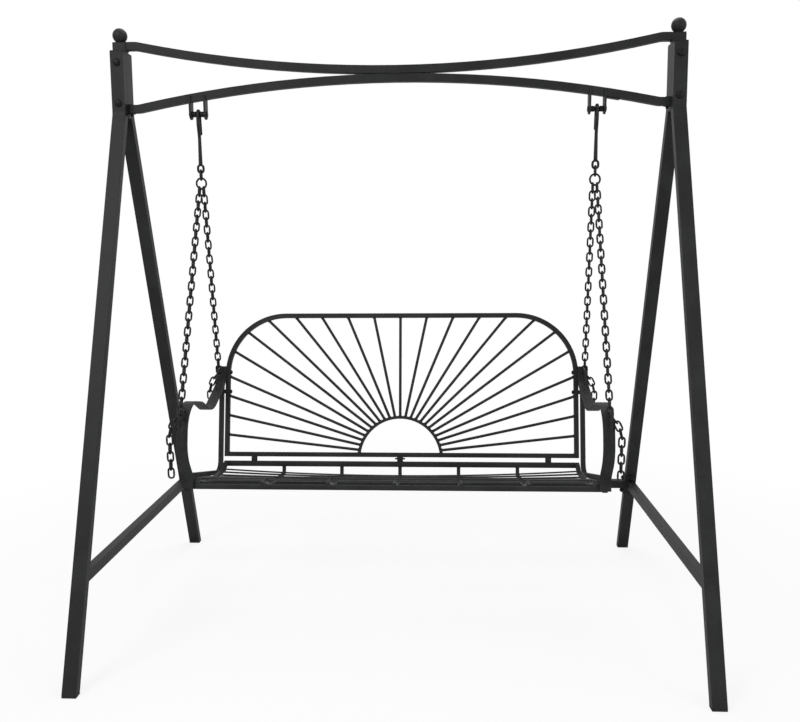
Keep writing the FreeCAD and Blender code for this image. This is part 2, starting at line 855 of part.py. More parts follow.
# Lower braces, each a tube with a bolting plate welded on both ends
def make_side_brace(side, sign):
    name = f"{side}_side_brace"
    body = new_body(f"{name}_tube")
    height = s.brace_height
    reach = leg_centre(height)
    profile = new_sketch(body, f"{name}_profile", "XZ_Plane")
    draw_tube(profile, s.brace_wide, s.brace_tall, s.brace_wall, 0, height)
    pad(body, profile, reach * 2, midplane=True)
    plates = new_sketch(body, f"{name}_plates", "YZ_Plane")
    half_rise = s.brace_plate_length / 2 / leg_rake_secant
    face_step = (s.leg_deep / 2 + s.weld_play / 2) * leg_rake_secant
    back_step = face_step + s.brace_plate_thick * leg_rake_secant
    for end in (-1, 1):
        draw_polygon(plates, [
            ((leg_centre(height - half_rise) - face_step) * end, height - half_rise),
            ((leg_centre(height + half_rise) - face_step) * end, height + half_rise),
            ((leg_centre(height + half_rise) - back_step) * end, height + half_rise),
            ((leg_centre(height - half_rise) - back_step) * end, height - half_rise),
        ])
    pad(body, plates, s.brace_wide, midplane=True)
    trims = new_sketch(body, f"{name}_trims", "YZ_Plane")
    low = height - s.brace_plate_length
    high = height + s.brace_plate_length
    outside = reach + s.cut_overrun
    for end in (-1, 1):
        draw_polygon(trims, [
            ((leg_centre(low) - face_step) * end, low), ((leg_centre(high) - face_step) * end, high),
            (outside * end, high), (outside * end, low),
        ])
    pocket_through(body, trims)
    on_side(body, sign)
    spots = []
    for end in (-1, 1):
        for offset in (s.brace_bolt_spacing.number / 2, -s.brace_bolt_spacing.number / 2):
            spots.append(rake_frame(sign, end, offset, s.leg_deep.number / 2))
    drills = bores(name, s.small_bolt_radius + s.bolt_play, s.brace_plate_thick * 4, spots)
    node(name, drilled(f"{name}_drilled", body, drills))


def make_rear_stretcher():
    # The flange plates follow the legs' rake and lean, and the tube runs into both plates.
    height = s.brace_height
    plates = []
    for side, sign in sides:
        plate = doc.addObject("Part::Box", f"stretcher_flange_{side}")
        bind(plate, Length=s.leg_deep, Width=s.brace_plate_length, Height=s.brace_plate_thick)
        rake = math.radians(rake_degrees)
        up = Vector(0, -math.sin(rake), math.cos(rake))
        inward = Vector(-sign, 0, 0)
        across = up.cross(inward)
        turn = Rotation(across, up, inward, "ZXY")
        centre = Vector(0, leg_centre(height).number, height.number)
        start = centre + inward * (s.leg_wide.number / 2 + s.weld_play.number / 2)
        start = start - across * (s.leg_deep.number / 2) - up * (s.brace_plate_length.number / 2)
        plate.Placement = side_frame(sign).multiply(Placement(start, turn))
        plates.append(plate)
    body = new_body("stretcher_tube")
    profile = new_sketch(body, "stretcher_profile", "YZ_Plane")
    draw_tube(profile, s.brace_wide, s.brace_tall, s.brace_wall, leg_centre(height), height)
    half = post_inner_face(height) - s.brace_plate_thick / 2
    pad(body, profile, half * 2, midplane=True)
    fused = boolean("Part::MultiFuse", "stretcher_welded", Shapes=[body] + plates)
    spots = []
    for side, sign in sides:
        for offset in (s.brace_bolt_spacing.number / 2, -s.brace_bolt_spacing.number / 2):
            spots.append(stretcher_frame(sign, offset, 0))
    drills = bores("stretcher", s.small_bolt_radius + s.bolt_play, s.brace_plate_thick * 4, spots)
    node("rear_stretcher", drilled("stretcher_drilled", fused, drills))


# Fasteners of the stand
def make_stand_bolts():
    stack = s.leg_deep * 3
    length = stack + s.washer_thick + s.nut_thick + s.cap_thick
    bolt = dome_bolt(
        "post_bolt_pattern", s.post_bolt_radius, length, s.post_head_radius, s.post_head_height
    )
    nut = new_body("post_nut_pattern")
    hexagon = new_sketch(nut, "post_nut_outline", "XY_Plane")
    corner = s.nut_across / 2 / cosine(size_of(30))
    draw_polygon(hexagon, [
        (corner * cosine(size_of(60 * k)), corner * sine(size_of(60 * k))) for k in range(6)
    ])
    draw_bore(hexagon, s.post_bolt_radius + s.weld_play / 2)
    pad(nut, hexagon, s.nut_thick)
    washer = new_body("post_washer_pattern")
    ring = new_sketch(washer, "post_washer_outline", "XY_Plane")
    draw_rod(ring, s.washer_radius)
    draw_bore(ring, s.post_bolt_radius + s.weld_play / 2)
    pad(washer, ring, s.washer_thick)
    heads = []
    washers = []
    nuts = []
    front = -stack.number / 2
    for side, sign in sides:
        heads += post_bolt_frames(sign, front)
        washers += post_bolt_frames(sign, -front + s.washer_thick.number)
        nuts += post_bolt_frames(sign, -front + s.washer_thick.number + s.nut_thick.number)
    node("post_bolts", copies("post_bolts_set", bolt, heads))
    node("post_washers", copies("post_washers_set", washer, washers))
    node("post_nuts", copies("post_nuts_set", nut, nuts))
    small = dome_bolt(
        "small_bolt_pattern", s.small_bolt_radius, s.small_bolt_length,
        s.small_head_radius, s.small_head_height,
    )
    seat = s.leg_deep.number / 2 + s.weld_play.number / 2 + s.brace_plate_thick.number
    brace_spots = []
    stretcher_spots = []
    for side, sign in sides:
        for offset in (s.brace_bolt_spacing.number / 2, -s.brace_bolt_spacing.number / 2):
            brace_spots += [rake_frame(sign, end, offset, seat) for end in (-1, 1)]
            inward = s.weld_play.number / 2 + s.brace_plate_thick.number
            stretcher_spots.append(stretcher_frame(sign, offset, inward))
    node("brace_bolts", copies("brace_bolts_set", small, brace_spots))
    node("stretcher_bolts", copies("stretcher_bolts_set", small, stretcher_spots))


# Hangers: notched plates that straddle the lower beam and carry the hook pins
def make_hangers():
    height, slope = lower_beam_at(hanger_place.number)
    underside = height - s.beam_size.number / 2 / math.cos(math.radians(slope))
    plate = new_body("hanger_plate_pattern")
    outline = new_sketch(plate, "hanger_outline", "YZ_Plane")
    half = s.hanger_deep / 2
    top = Size(underside, f"({underside})") + s.hanger_grip
    spots = [(-half, top), (-half, pin_height), (half, pin_height), (half, top)]
    points = [Vector(x.number, y.number, 0) for x, y in spots]
    left = outline.addGeometry(Part.LineSegment(points[0], points[1]), False)
    circle = Part.Circle(Vector(0, pin_height.number, 0), z_axis, half.number)
    foot = outline.addGeometry(Part.ArcOfCircle(circle, math.pi, 2 * math.pi), False)
    right = outline.addGeometry(Part.LineSegment(points[2], points[3]), False)
    lid = outline.addGeometry(Part.LineSegment(points[3], points[0]), False)
    chain = [left, foot, right, lid]
    for first, second in zip(chain, chain[1:] + chain[:1]):
        outline.addConstraint(Sketcher.Constraint("Coincident", first, 2, second, 1))
    fix_point(outline, left, 1, -half, top)
    fix_point(outline, left, 2, -half, pin_height)
    fix_point(outline, right, 1, half, pin_height)
    fix_point(outline, right, 2, half, top)
    index = outline.addConstraint(
        Sketcher.Constraint("DistanceY", -1, 1, foot, 3, pin_height.number)
    )
    outline.setExpression(f"Constraints[{index}]", pin_height.text)
    pad(plate, outline, s.hanger_thick, midplane=True)
    hole = new_sketch(plate, "hanger_pin_hole", "YZ_Plane")
    draw_bore(hole, s.pin_radius + s.bolt_play / 2, 0, pin_height)
    pocket_through(plate, hole)
    doc.recompute()
    for side, sign in sides:
        plates = []
        for edge in (-1, 1):
            place = hanger_place.number * sign + (s.hanger_gap.number + s.hanger_thick.number) / 2 * edge
            copy = plate.Shape.copy()
            copy.Placement = Placement(Vector(place, 0, 0), Rotation())
            centre, lean = lower_beam_at(place)
            notch_size = s.beam_size.number + s.weld_play.number * 2
            notch = Part.makeBox(notch_size, notch_size, notch_size * 2)
            corner = Vector(-notch_size / 2, -notch_size / 2, -notch_size / 2)
            frame = Placement(Vector(place, 0, centre), Rotation(y_axis, lean))
            notch.Placement = frame.multiply(Placement(corner, Rotation()))
            plates.append(copy.cut(notch))
        item = doc.addObject("Part::Feature", f"{side}_hanger_plates")
        item.Shape = Part.makeCompound(plates)
        node(f"{side}_hanger", item)


def make_hanger_pins():
    half = s.hanger_gap / 2 + s.hanger_thick + s.weld_play
    body = new_body("hanger_pin_pattern")
    shaft = new_sketch(body, "hanger_pin_shaft", "XY_Plane")
    draw_circle(shaft, s.pin_radius)
    pad(body, shaft, half * 2, midplane=True)
    for label, start in (("near", half), ("far", -half - s.pin_head_thick)):
        head = new_sketch(body, f"hanger_pin_{label}_head", "XY_Plane", start)
        draw_rod(head, s.pin_head_radius)
        pad(body, head, s.pin_head_thick)
    turn = Rotation(y_axis, 90)
    spots = [
        Placement(Vector(hanger_place.number * sign, 0, pin_height.number), turn) for side, sign in sides
    ]
    node("hanger_pins", copies("hanger_pins_set", body, spots))


# Chain: every link is one bent wire, drawn as straight stretches with mitred corners
link_end_share = 0.62
fork_end_share = 0.75


def link_shape(long, wide, wire, end_share, section_sides):
    # The link stands in the XZ plane, its long way up Z, about the origin.
    across = (wide - wire) / 2
    up = (long - wire) / 2
    shoulder = up - across
    narrow = across * end_share
    route = [
        (across, shoulder), (narrow, up), (-narrow, up), (-across, shoulder),
        (-across, -shoulder), (-narrow, -up), (narrow, -up), (across, -shoulder),
    ]
    corner = wire / 2 / math.cos(math.pi / section_sides)
    rings = wire_rings([Vector(x, 0, z) for x, z in route], corner, section_sides, y_axis, True)
    return closed(skin(rings + rings[:1]))


def link_frame(centre, direction, edge_on):
    # Z of the link along the chain, and its flat side facing along Y, or along X when edge on
    up = Vector(direction).normalize()
    ahead = x_axis.cross(up).normalize()
    turn = Rotation(x_axis, ahead * -1, up, "ZXY")
    if edge_on:
        turn = turn.multiply(Rotation(z_axis, 90))
    return Placement(centre, turn)


def placed(shape, placement):
    copy = shape.copy()
    copy.Placement = placement
    return copy


link_sizes = (s.link_long.number, s.link_wide.number, s.link_wire.number)
link = link_shape(*link_sizes, link_end_share, 4)
round_link = link_shape(*link_sizes, link_end_share, 8)
fork = link_shape(s.fork_long.number, s.fork_wide.number, s.fork_wire.number, fork_end_share, 8)
link_reach = (s.link_long.number - s.link_wire.number) / 2
link_half_wire = s.link_wire.number / 2
fork_reach = (s.fork_long.number - s.fork_wire.number) / 2
fork_half_wire = s.fork_wire.number / 2
octagon_corner = 1 / math.cos(math.pi / round_sides)
eye_reach = (s.eye_long.number - s.eye_wire.number) / 2
eye_half_wire = s.eye_wire.number / 2
play = s.link_play.number

# Heights down the suspension: hook eye, swivel link, fork link
swivel_axis_height = eye_height.number - eye_reach
swivel_height = swivel_axis_height - (link_reach - link_half_wire - eye_half_wire * octagon_corner - play)
fork_top = swivel_height - (link_reach - link_half_wire - fork_half_wire * octagon_corner - play)
fork_height = fork_top - fork_reach
fork_bottom = fork_height - fork_reach


def make_hooks():
    loop = s.pin_radius + s.hook_play + s.hook_radius
    pin = pin_height
    eye_top = eye_height + (s.eye_long - s.eye_wire) / 2
    tail = pin - s.hook_tail
    for side, sign in sides:
        name = f"{side}_hook"
        corners = [
            (loop + s.hook_tail_splay, tail), (loop, pin - loop), (loop, pin + loop), (-loop, pin + loop),
            (-loop, pin - s.hook_neck), (zero, pin - s.hook_neck - s.hook_sweep), (zero, eye_top),
        ]
        radii = [s.hook_bend_radius, loop, loop, s.hook_bend_radius, s.hook_bend_radius]
        rod = bent_wire(f"{name}_rod", corners, radii, s.hook_radius)
        put(rod, hanger_place * sign)
        eye = doc.addObject("Part::Feature", f"{name}_eye")
        eye.Shape = link_shape(
            s.eye_long.number, s.eye_wide.number, s.eye_wire.number, link_end_share, 8
        )
        put(eye, hanger_place * sign, 0, eye_height)
        node(name, boolean("Part::Fuse", f"{name}_welded", Base=rod, Tool=eye))


def make_top_links():
    swivels = []
    forks = []
    for side, sign in sides:
        place = hanger_place.number * sign
        swivels.append(placed(link, link_frame(Vector(place, 0, swivel_height), z_axis, True)))
        forks.append(placed(fork, link_frame(Vector(place, 0, fork_height), z_axis, False)))
    item = doc.addObject("Part::Feature", "swivel_pair")
    item.Shape = Part.makeCompound(swivels)
    node("swivel_links", item)
    item = doc.addObject("Part::Feature", "fork_pair")
    item.Shape = Part.makeCompound(forks)
    node("fork_links", item)


def peg_point(sign, run, height):
    # Middle of a peg's level stretch, where the chain's hooked link sits
    return bench_frame.multVec(Vector(side_place.number * sign, run, height))


def chain_shapes(sign, split, peg):
    # Links from the fork's lower bar down to the link that is hooked on a peg of the bench
    start = Vector(hanger_place.number * sign + split, 0, fork_bottom)
    up = (start - peg).normalize()
    bar_clear = fork_half_wire * octagon_corner + play + link_half_wire
    first = start - up * (link_reach - bar_clear)
    peg_clear = s.peg_radius.number + link_half_wire * 3 + s.peg_slack.number
    last = peg + up * (link_reach - peg_clear)
    pitch = 2 * (link_reach - link_half_wire) - play
    above = last + up * pitch
    steps = math.ceil((first - above).Length / pitch)
    steps += steps % 2
    shift = (above - first) * (1 / steps)
    links = [placed(link, link_frame(first + shift * k, up, k % 2 == 0)) for k in range(steps + 1)]
    links.append(placed(round_link, link_frame(last, up, False)))
    return links, last, up


turn_count = 3


def tail_shapes(hooked, up, sign, count):
    # Spare links below the hooked one: some turn outwards past the arm, and the rest hang straight.
    turns = [math.radians(s.tail_turn.number * (1 - k / turn_count)) for k in range(turn_count)]
    directions = [Vector(-sign * math.sin(turn), 0, math.cos(turn)) for turn in turns]
    directions += [z_axis] * count
    cross = s.link_wire.number + s.link_tilt_play.number
    bow = hooked - up * link_reach + z_axis * (s.link_wire.number + s.turn_slack.number)
    links = []
    for k, direction in enumerate(directions):
        if k > 0:
            between = (directions[k - 1] + direction).normalize()
            bow = centre - directions[k - 1] * link_reach + between * cross
        centre = bow - direction * link_reach
        shape = round_link if k <= turn_count else link
        links.append(placed(shape, link_frame(centre, direction, k % 2 == 0)))
    return links[:turn_count], links[turn_count:]


rear_peg_run = -s.side_bar / 2 - s.arm_thick
front_peg_reach = -s.arm_front_run - s.arm_thick / 2 - s.peg_reach
rear_peg_reach = rear_peg_run - s.rear_peg_length
bend_depth = s.front_peg_height - s.arm_crest_height + s.arm_front_radius
front_peg_run = s.arm_front_radius - s.arm_front_run - root(
    (s.arm_front_radius + s.arm_thick / 2) * (s.arm_front_radius + s.arm_thick / 2) - bend_depth * bend_depth
)
rear_peg_slope = s.rear_peg_fall / s.rear_peg_length
front_tail_count = 5
rear_tail_count = 2


def make_chains():
    for side, sign in sides:
        for end_name, out, height, slope, split, count in (
            ("front", front_peg_reach, s.front_peg_height, zero, s.fork_split, front_tail_count),
            ("rear", rear_peg_reach, s.rear_peg_height, rear_peg_slope, -s.fork_split, rear_tail_count),
        ):
            seat = (s.peg_reach + s.peg_radius) / 2
            peg = peg_point(sign, (out + seat).number, (height + slope * seat).number)
            links, hooked, up = chain_shapes(sign, split.number * sign, peg)
            turning, hanging = tail_shapes(hooked, up, sign, count)
            item = doc.addObject("Part::Feature", f"{side}_{end_name}_chain_links")
            item.Shape = Part.makeCompound(links + turning)
            node(f"{side}_{end_name}_chain", item)
            tail = doc.addObject("Part::Feature", f"{side}_{end_name}_tail_links")
            tail.Shape = Part.makeCompound(hanging)
            node(f"{side}_{end_name}_tail", tail)


# Bench
def make_side_frame(side, sign):
    body = new_body(f"{side}_side_bar")
    spine = new_sketch(body, f"{side}_side_spine", "YZ_Plane")
    corners = [
        (zero, s.side_top), (zero, s.side_rear_height), (-s.side_front, s.side_front_height),
        (-s.side_front, s.side_front_height - s.side_drop),
    ]
    draw_bent_line(spine, corners, [s.side_bend_radius, s.side_nose_radius])
    profile = new_sketch(body, f"{side}_side_profile", "XY_Plane", s.side_top)
    draw_tube(profile, s.side_bar, s.side_bar, s.side_wall)
    sweep(body, profile, spine)
    on_bench(body, side_place * sign)
    spots = [
        bench_frame.multiply(Placement(
            Vector(side_place.number * sign, 0, height.number), Rotation(y_axis, 90)
        )) for height in (s.back_bolt_upper, s.back_bolt_lower)
    ]
    drills = bores(f"{side}_side", s.small_bolt_radius + s.bolt_play, s.side_bar * 2, spots)
    node(f"{side}_side_frame", drilled(f"{side}_side_drilled", body, drills))


def straight_tube(name, half, size, wall, y, z):
    body = new_body(name)
    profile = new_sketch(body, f"{name}_profile", "YZ_Plane")
    draw_tube(profile, size, size, wall)
    pad(body, profile, half * 2, midplane=True)
    on_bench(body, 0, y, z)
    return body


inner_side = rail_half + s.side_gap
bow_half = rail_half - s.rail_size / 2
rib_low = s.rib_top - s.rib_thick


def make_seat_rails():
    spots = [
        bench_frame.multiply(Placement(
            Vector(spacer_place.number * k, 0, s.rail_size.number / 2), Rotation()
        )) for k in (-1, 0, 1)
    ]
    rail = new_body("seat_rear_tube")
    spine = new_sketch(rail, "seat_rear_spine", "XZ_Plane")
    corners = [(-bow_half, rib_low), (-bow_half, zero), (bow_half, zero), (bow_half, rib_low)]
    draw_bent_line(spine, corners, [s.rail_end_radius, s.rail_end_radius])
    profile = new_sketch(rail, "seat_rear_profile", "XY_Plane", rib_low)
    draw_tube(profile, s.rail_size, s.rail_size, s.rail_wall, -bow_half, 0)
    sweep(rail, profile, spine)
    on_bench(rail)
    drills = bores("seat_rear", s.small_bolt_radius + s.bolt_play, s.rail_wall * 4, spots)
    node("seat_rear_rail", drilled("seat_rear_drilled", rail, drills))
    half = inner_side - s.weld_play
    edge = straight_tube(
        "seat_edge_tube", half, s.front_bar, s.front_wall, -s.front_place, s.rib_top + s.front_bar / 2
    )
    node("seat_front_edge", edge)
    lower = straight_tube(
        "seat_front_tube", half, s.front_bar, s.front_wall, -s.front_place, rib_low - s.front_bar / 2
    )
    node("seat_front_rail", lower)


dish_slope_run = hypotenuse(rail_half, s.seat_dish * 2)
dish_margin = s.beam_run_margin
dish_radius = (dish_slope_run - dish_margin) * rail_half / (s.seat_dish * 2)


def dish_at(place):
    # How far the dished slats sink below their ends, at a distance from the middle
    flat_part = dish_radius.number
    middle = s.seat_dish.number * 2 - (dish_slope_run - dish_margin).number * (
        dish_slope_run - rail_half
    ).number / (s.seat_dish.number * 2)
    reach = min(abs(place), flat_part * rail_half.number / dish_slope_run.number)
    return max(middle - flat_part + math.sqrt(flat_part ** 2 - reach ** 2), 0)


def make_ribs():
    # The middle ribs drop from under the rear rail; the end ones butt against its turned ends.
    ribs = []
    count = 7
    spacing = bow_half * 2 / (count - 1)
    level = s.rib_top - s.rib_thick / 2
    front = -s.front_place - s.front_bar / 2
    for index in range(count):
        name = f"rib_{index + 1}"
        place = spacing * (index - (count - 1) / 2)
        inner_edge = max(abs(place.number) - s.rib_wide.number / 2, 0)
        sink = s.seat_dish * (dish_at(inner_edge) / s.seat_dish.number)
        run = [(-s.rib_rise_start, level - sink), (-s.rib_rise_end, level), (front, level)]
        rise = [s.rib_rise_radius, s.rib_rise_radius]
        body = new_body(name)
        spine = new_sketch(body, f"{name}_spine", "YZ_Plane")
        edge = -s.rail_size / 2 - s.weld_play / 2
        if index in (0, count - 1):
            draw_bent_line(spine, [(edge, level - sink)] + run, rise)
            profile = new_sketch(body, f"{name}_profile", "XZ_Plane", -edge)
            draw_box(profile, s.rib_wide, s.rib_thick, 0, level - sink)
        else:
            draw_bent_line(spine, [(zero, edge), (zero, level - sink)] + run, [s.rib_bend_radius] + rise)
            profile = new_sketch(body, f"{name}_profile", "XY_Plane", edge)
            draw_box(profile, s.rib_wide, s.rib_thick)
        sweep(body, profile, spine)
        ribs.append(on_bench(body, place))
    node("seat_ribs", boolean("Part::Compound", "rib_set", Links=ribs))


def make_slats():
    slats = []
    index = 0
    rise_length = (s.rib_rise_end - s.rib_rise_start).number
    last = s.front_place - s.front_bar / 2 - s.slat_wide
    while (s.slat_first + s.slat_pitch * index).number < last.number:
        run = s.slat_first + s.slat_pitch * index
        lead = run.number + s.slat_wide.number / 2
        share = min(1, max(0, (s.rib_rise_end.number - lead) / rise_length))
        index += 1
        name = f"slat_{index}"
        body = new_body(name)
        height = s.rib_top + s.slat_thick / 2 + s.weld_play
        if share > s.slat_thick.number / rail_half.number:
            spine = new_sketch(body, f"{name}_spine", "XZ_Plane")
            drop = s.seat_dish * share * 2
            run_length = hypotenuse(rail_half, drop)
            radius = (run_length - dish_margin) * rail_half / drop
            corners = [(-rail_half, height), (zero, height - drop), (rail_half, height)]
            draw_bent_line(spine, corners, [radius])
            profile = new_sketch(body, f"{name}_profile", "YZ_Plane", -rail_half)
            draw_box(profile, s.slat_wide, s.slat_thick, 0, height)
            sweep(body, profile, spine)
        else:
            profile = new_sketch(body, f"{name}_profile", "YZ_Plane")
            draw_box(profile, s.slat_wide, s.slat_thick, 0, height)
            pad(body, profile, rail_half * 2, midplane=True)
        slats.append(on_bench(body, 0, -run, 0))
    node("seat_slats", boolean("Part::Compound", "slat_set", Links=slats))


# Back panel: a bent bow on a bottom rail, a half ring and rays that run out to the bow
back_low = s.back_rise - s.rail_size / 2
bow_top = back_low + s.back_tall


def make_back_frame():
    body = new_body("back_bow_tube")
    spine = new_sketch(body, "back_bow_spine", "XZ_Plane")
    corners = [(-bow_half, back_low), (-bow_half, bow_top), (bow_half, bow_top), (bow_half, back_low)]
    draw_bent_line(spine, corners, [s.back_corner_radius, s.back_corner_radius])
    profile = new_sketch(body, "back_bow_profile", "XY_Plane", back_low)
    draw_tube(profile, s.rail_size, s.rail_size, s.rail_wall, -bow_half, 0)
    sweep(body, profile, spine)
    on_bench(body)
    spots = []
    for side, sign in sides:
        for height in (s.back_bolt_upper, s.back_bolt_lower):
            local = Placement(Vector(bow_half.number * sign, 0, height.number), Rotation(y_axis, 90))
            spots.append(bench_frame.multiply(local))
    drills = bores("back_bow", s.small_bolt_radius + s.bolt_play, s.rail_size * 2, spots)
    node("back_bow", drilled("back_bow_drilled", body, drills))
    half = bow_half - s.rail_size / 2 - s.weld_play / 2
    rail = straight_tube("back_rail_tube", half, s.rail_size, s.rail_wall, 0, s.back_rise)
    spots = [
        bench_frame.multiply(Placement(
            Vector(spacer_place.number * k, 0, s.back_rise.number - s.rail_size.number / 2), Rotation()
        )) for k in (-1, 0, 1)
    ]
    drills = bores("back_rail", s.small_bolt_radius + s.bolt_play, s.rail_wall * 4, spots)
    node("back_bottom_rail", drilled("back_rail_drilled", rail, drills))


sun_centre = s.back_rise - s.sun_drop


def make_sun():
    ring = new_body("sun_ring_bar")
    outline = new_sketch(ring, "sun_ring_outline", "XZ_Plane")
    draw_circle(outline, s.sun_radius + s.sun_bar / 2, 0, sun_centre)
    draw_circle(outline, s.sun_radius - s.sun_bar / 2, 0, sun_centre)
    pad(ring, outline, s.sun_bar, midplane=True)
    trim = new_sketch(ring, "sun_ring_trim", "XZ_Plane")
    floor = s.back_rise + s.rail_size / 2 + s.weld_play / 2
    draw_box(trim, s.sun_radius * 4, s.sun_radius * 2, 0, floor - s.sun_radius)
    pocket_through(ring, trim)
    node("sun_ring", on_bench(ring))
    window = new_body("ray_window")
    area = new_sketch(window, "ray_window_outline", "XZ_Plane")
    inside = bow_half - s.rail_size / 2 - s.weld_play / 2
    top = bow_top - s.rail_size / 2 - s.weld_play / 2
    corner = s.back_corner_radius - s.rail_size / 2
    draw_window(area, inside, floor, top, corner)
    pad(window, area, s.rail_size, midplane=True)
    hole = new_sketch(window, "ray_window_hole", "XZ_Plane")
    draw_circle(hole, s.sun_radius + s.sun_bar / 2 + s.weld_play / 2, 0, sun_centre)
    pocket_through(window, hole)
    on_bench(window)
    rods = [ray_rod(index, near, far) for index, (near, far) in enumerate(ray_ends())]
    bundle = boolean("Part::Compound", "ray_rods", Links=rods)
    node("sun_rays", boolean("Part::MultiCommon", "rays_trimmed", Shapes=[bundle, window]))


def draw_window(sketch, inside, bottom, top, corner):
    # The bow's inner outline: a rectangle with two rounded upper corners
    points = [(inside, bottom), (inside, top - corner), (inside - corner, top)]
    points += [(-x, z) for x, z in reversed(points)]
    spots = [Vector(x.number, z.number, 0) for x, z in points]
    right = sketch.addGeometry(Part.LineSegment(spots[0], spots[1]), False)
    circle = Part.Circle(Vector((inside - corner).number, (top - corner).number, 0), z_axis, corner.number)
    right_arc = sketch.addGeometry(Part.ArcOfCircle(circle, 0, math.pi / 2), False)
    lid = sketch.addGeometry(Part.LineSegment(spots[2], spots[3]), False)
    circle = Part.Circle(Vector((corner - inside).number, (top - corner).number, 0), z_axis, corner.number)
    left_arc = sketch.addGeometry(Part.ArcOfCircle(circle, math.pi / 2, math.pi), False)
    left = sketch.addGeometry(Part.LineSegment(spots[4], spots[5]), False)
    floor = sketch.addGeometry(Part.LineSegment(spots[5], spots[0]), False)
    chain = [right, right_arc, lid, left_arc, left, floor]
    for first, second in zip(chain, chain[1:] + chain[:1]):
        sketch.addConstraint(Sketcher.Constraint("Coincident", first, 2, second, 1))
    for piece, (x, z) in ((right, points[0]), (right_arc, points[1]), (lid, points[2])):
        fix_point(sketch, piece, 1, x, z)
    for piece, (x, z) in ((left_arc, points[3]), (left, points[4]), (floor, points[5])):
        fix_point(sketch, piece, 1, x, z)
    for arc in (right_arc, left_arc):
        index = sketch.addConstraint(Sketcher.Constraint("Radius", arc, corner.number))
        sketch.setExpression(f"Constraints[{index}]", corner.text)


ray_top_pitch_share = 0.232


def ray_ends():
    # From evenly spaced feet on the half ring to the bow: up its side, round its corner, along its top
    side_count = 4
    corner_count = 3
    top_count = 4
    far = [(bow_half, s.back_rise + s.ray_side_pitch * k) for k in range(1, side_count + 1)]
    for k in range(1, corner_count + 1):
        angle = s.ray_corner_step * k
        far.append((
            bow_half - s.back_corner_radius + s.back_corner_radius * cosine(angle),
            bow_top - s.back_corner_radius + s.back_corner_radius * sine(angle),
        ))
    top_pitch = (bow_half - s.back_corner_radius) * ray_top_pitch_share
    far += [(top_pitch * k, bow_top) for k in range(top_count, -1, -1)]
    pairs = []
    for index, (x, z) in enumerate(far):
        step = (size_of(90) - s.ray_first_angle) / (len(far) - 1)
        turn = s.ray_first_angle + step * index
        near_x = s.sun_radius * cosine(turn)
        near_z = sun_centre + s.sun_radius * sine(turn)
        pairs.append(((near_x, near_z), (x, z)))
        if index < len(far) - 1:
            pairs.append(((-near_x, near_z), (-x, z)))
    return pairs


def ray_rod(index, near, far):
    run = far[0] - near[0]
    rise = far[1] - near[1]
    rod = prism(f"ray_{index + 1}", s.ray_radius, hypotenuse(run, rise) + s.rail_size)
    lean = math.degrees(math.atan2(run.number, rise.number))
    local = Placement(Vector(near[0].number, 0, near[1].number), Rotation(y_axis, lean))
    rod.Placement = bench_frame.multiply(local)
    return rod


# Arms: one flat bar each, bent from the upright down over the dip and round to the seat's front
def make_arm(side, sign):
    name = f"{side}_armrest"
    body = new_body(f"{name}_bar")
    spine = new_sketch(body, f"{name}_spine", "YZ_Plane")
    rear = -s.side_bar / 2 - s.arm_thick / 2 - s.weld_play / 2
    foot = -s.side_front - s.side_bar / 2 - s.arm_thick / 2 - s.weld_play / 2
    corners = [
        (rear, s.side_top), (rear, s.arm_rear_low), (-s.arm_dip_run, s.arm_dip_height),
        (-s.arm_crest_run, s.arm_crest_height), (-s.arm_front_run, s.arm_crest_height),
        (-s.arm_front_run, s.arm_front_low), (foot, s.arm_foot_height), (foot, s.arm_foot_end),
    ]
    radii = [
        s.arm_rear_radius, s.arm_dip_radius, s.arm_crest_radius, s.arm_front_radius,
        s.arm_return_radius, s.arm_foot_radius,
    ]
    draw_bent_line(spine, corners, radii)
    profile = new_sketch(body, f"{name}_profile", "XY_Plane", s.side_top)
    draw_box(profile, s.arm_wide, s.arm_thick, 0, rear)
    sweep(body, profile, spine)
    node(name, on_bench(body, side_place * sign))


def make_pegs():
    for end_name, run, out, height, fall, drop in (
        ("front", front_peg_run, front_peg_reach, s.front_peg_height, zero, s.front_peg_drop),
        ("rear", rear_peg_run, rear_peg_reach, s.rear_peg_height, s.rear_peg_fall, s.rear_peg_drop),
    ):
        pegs = []
        for side, sign in sides:
            corners = [(out, height - drop), (out, height), (run + s.arm_thick, height + fall)]
            peg = bent_wire(f"{end_name}_peg_{side}", corners, [s.peg_bend_radius], s.peg_radius)
            pegs.append(on_bench(peg, side_place * sign))
        pair = boolean("Part::Compound", f"{end_name}_peg_pair", Links=pegs)
        if end_name == "rear":
            cope = doc.addObject("Part::Box", "rear_peg_cope")
            bind(cope, Length=side_place * 3, Width=s.arm_thick * 4, Height=s.side_top * 2)
            corner = Vector(-side_place.number * 3 / 2, (rear_peg_run - s.weld_play).number, 0)
            cope.Placement = bench_frame.multiply(Placement(corner, Rotation()))
        else:
            cope = doc.addObject("Part::Cylinder", "front_peg_cope")
            bind(cope, Radius=s.arm_front_radius + s.arm_thick / 2 + s.weld_play, Height=side_place * 3)
            bend = Vector(
                -side_place.number * 3 / 2, (s.arm_front_radius - s.arm_front_run).number,
                (s.arm_crest_height - s.arm_front_radius).number,
            )
            cope.Placement = bench_frame.multiply(Placement(bend, Rotation(y_axis, 90)))
        node(f"{end_name}_chain_pegs", boolean("Part::Cut", f"{end_name}_pegs_coped", Base=pair, Tool=cope))


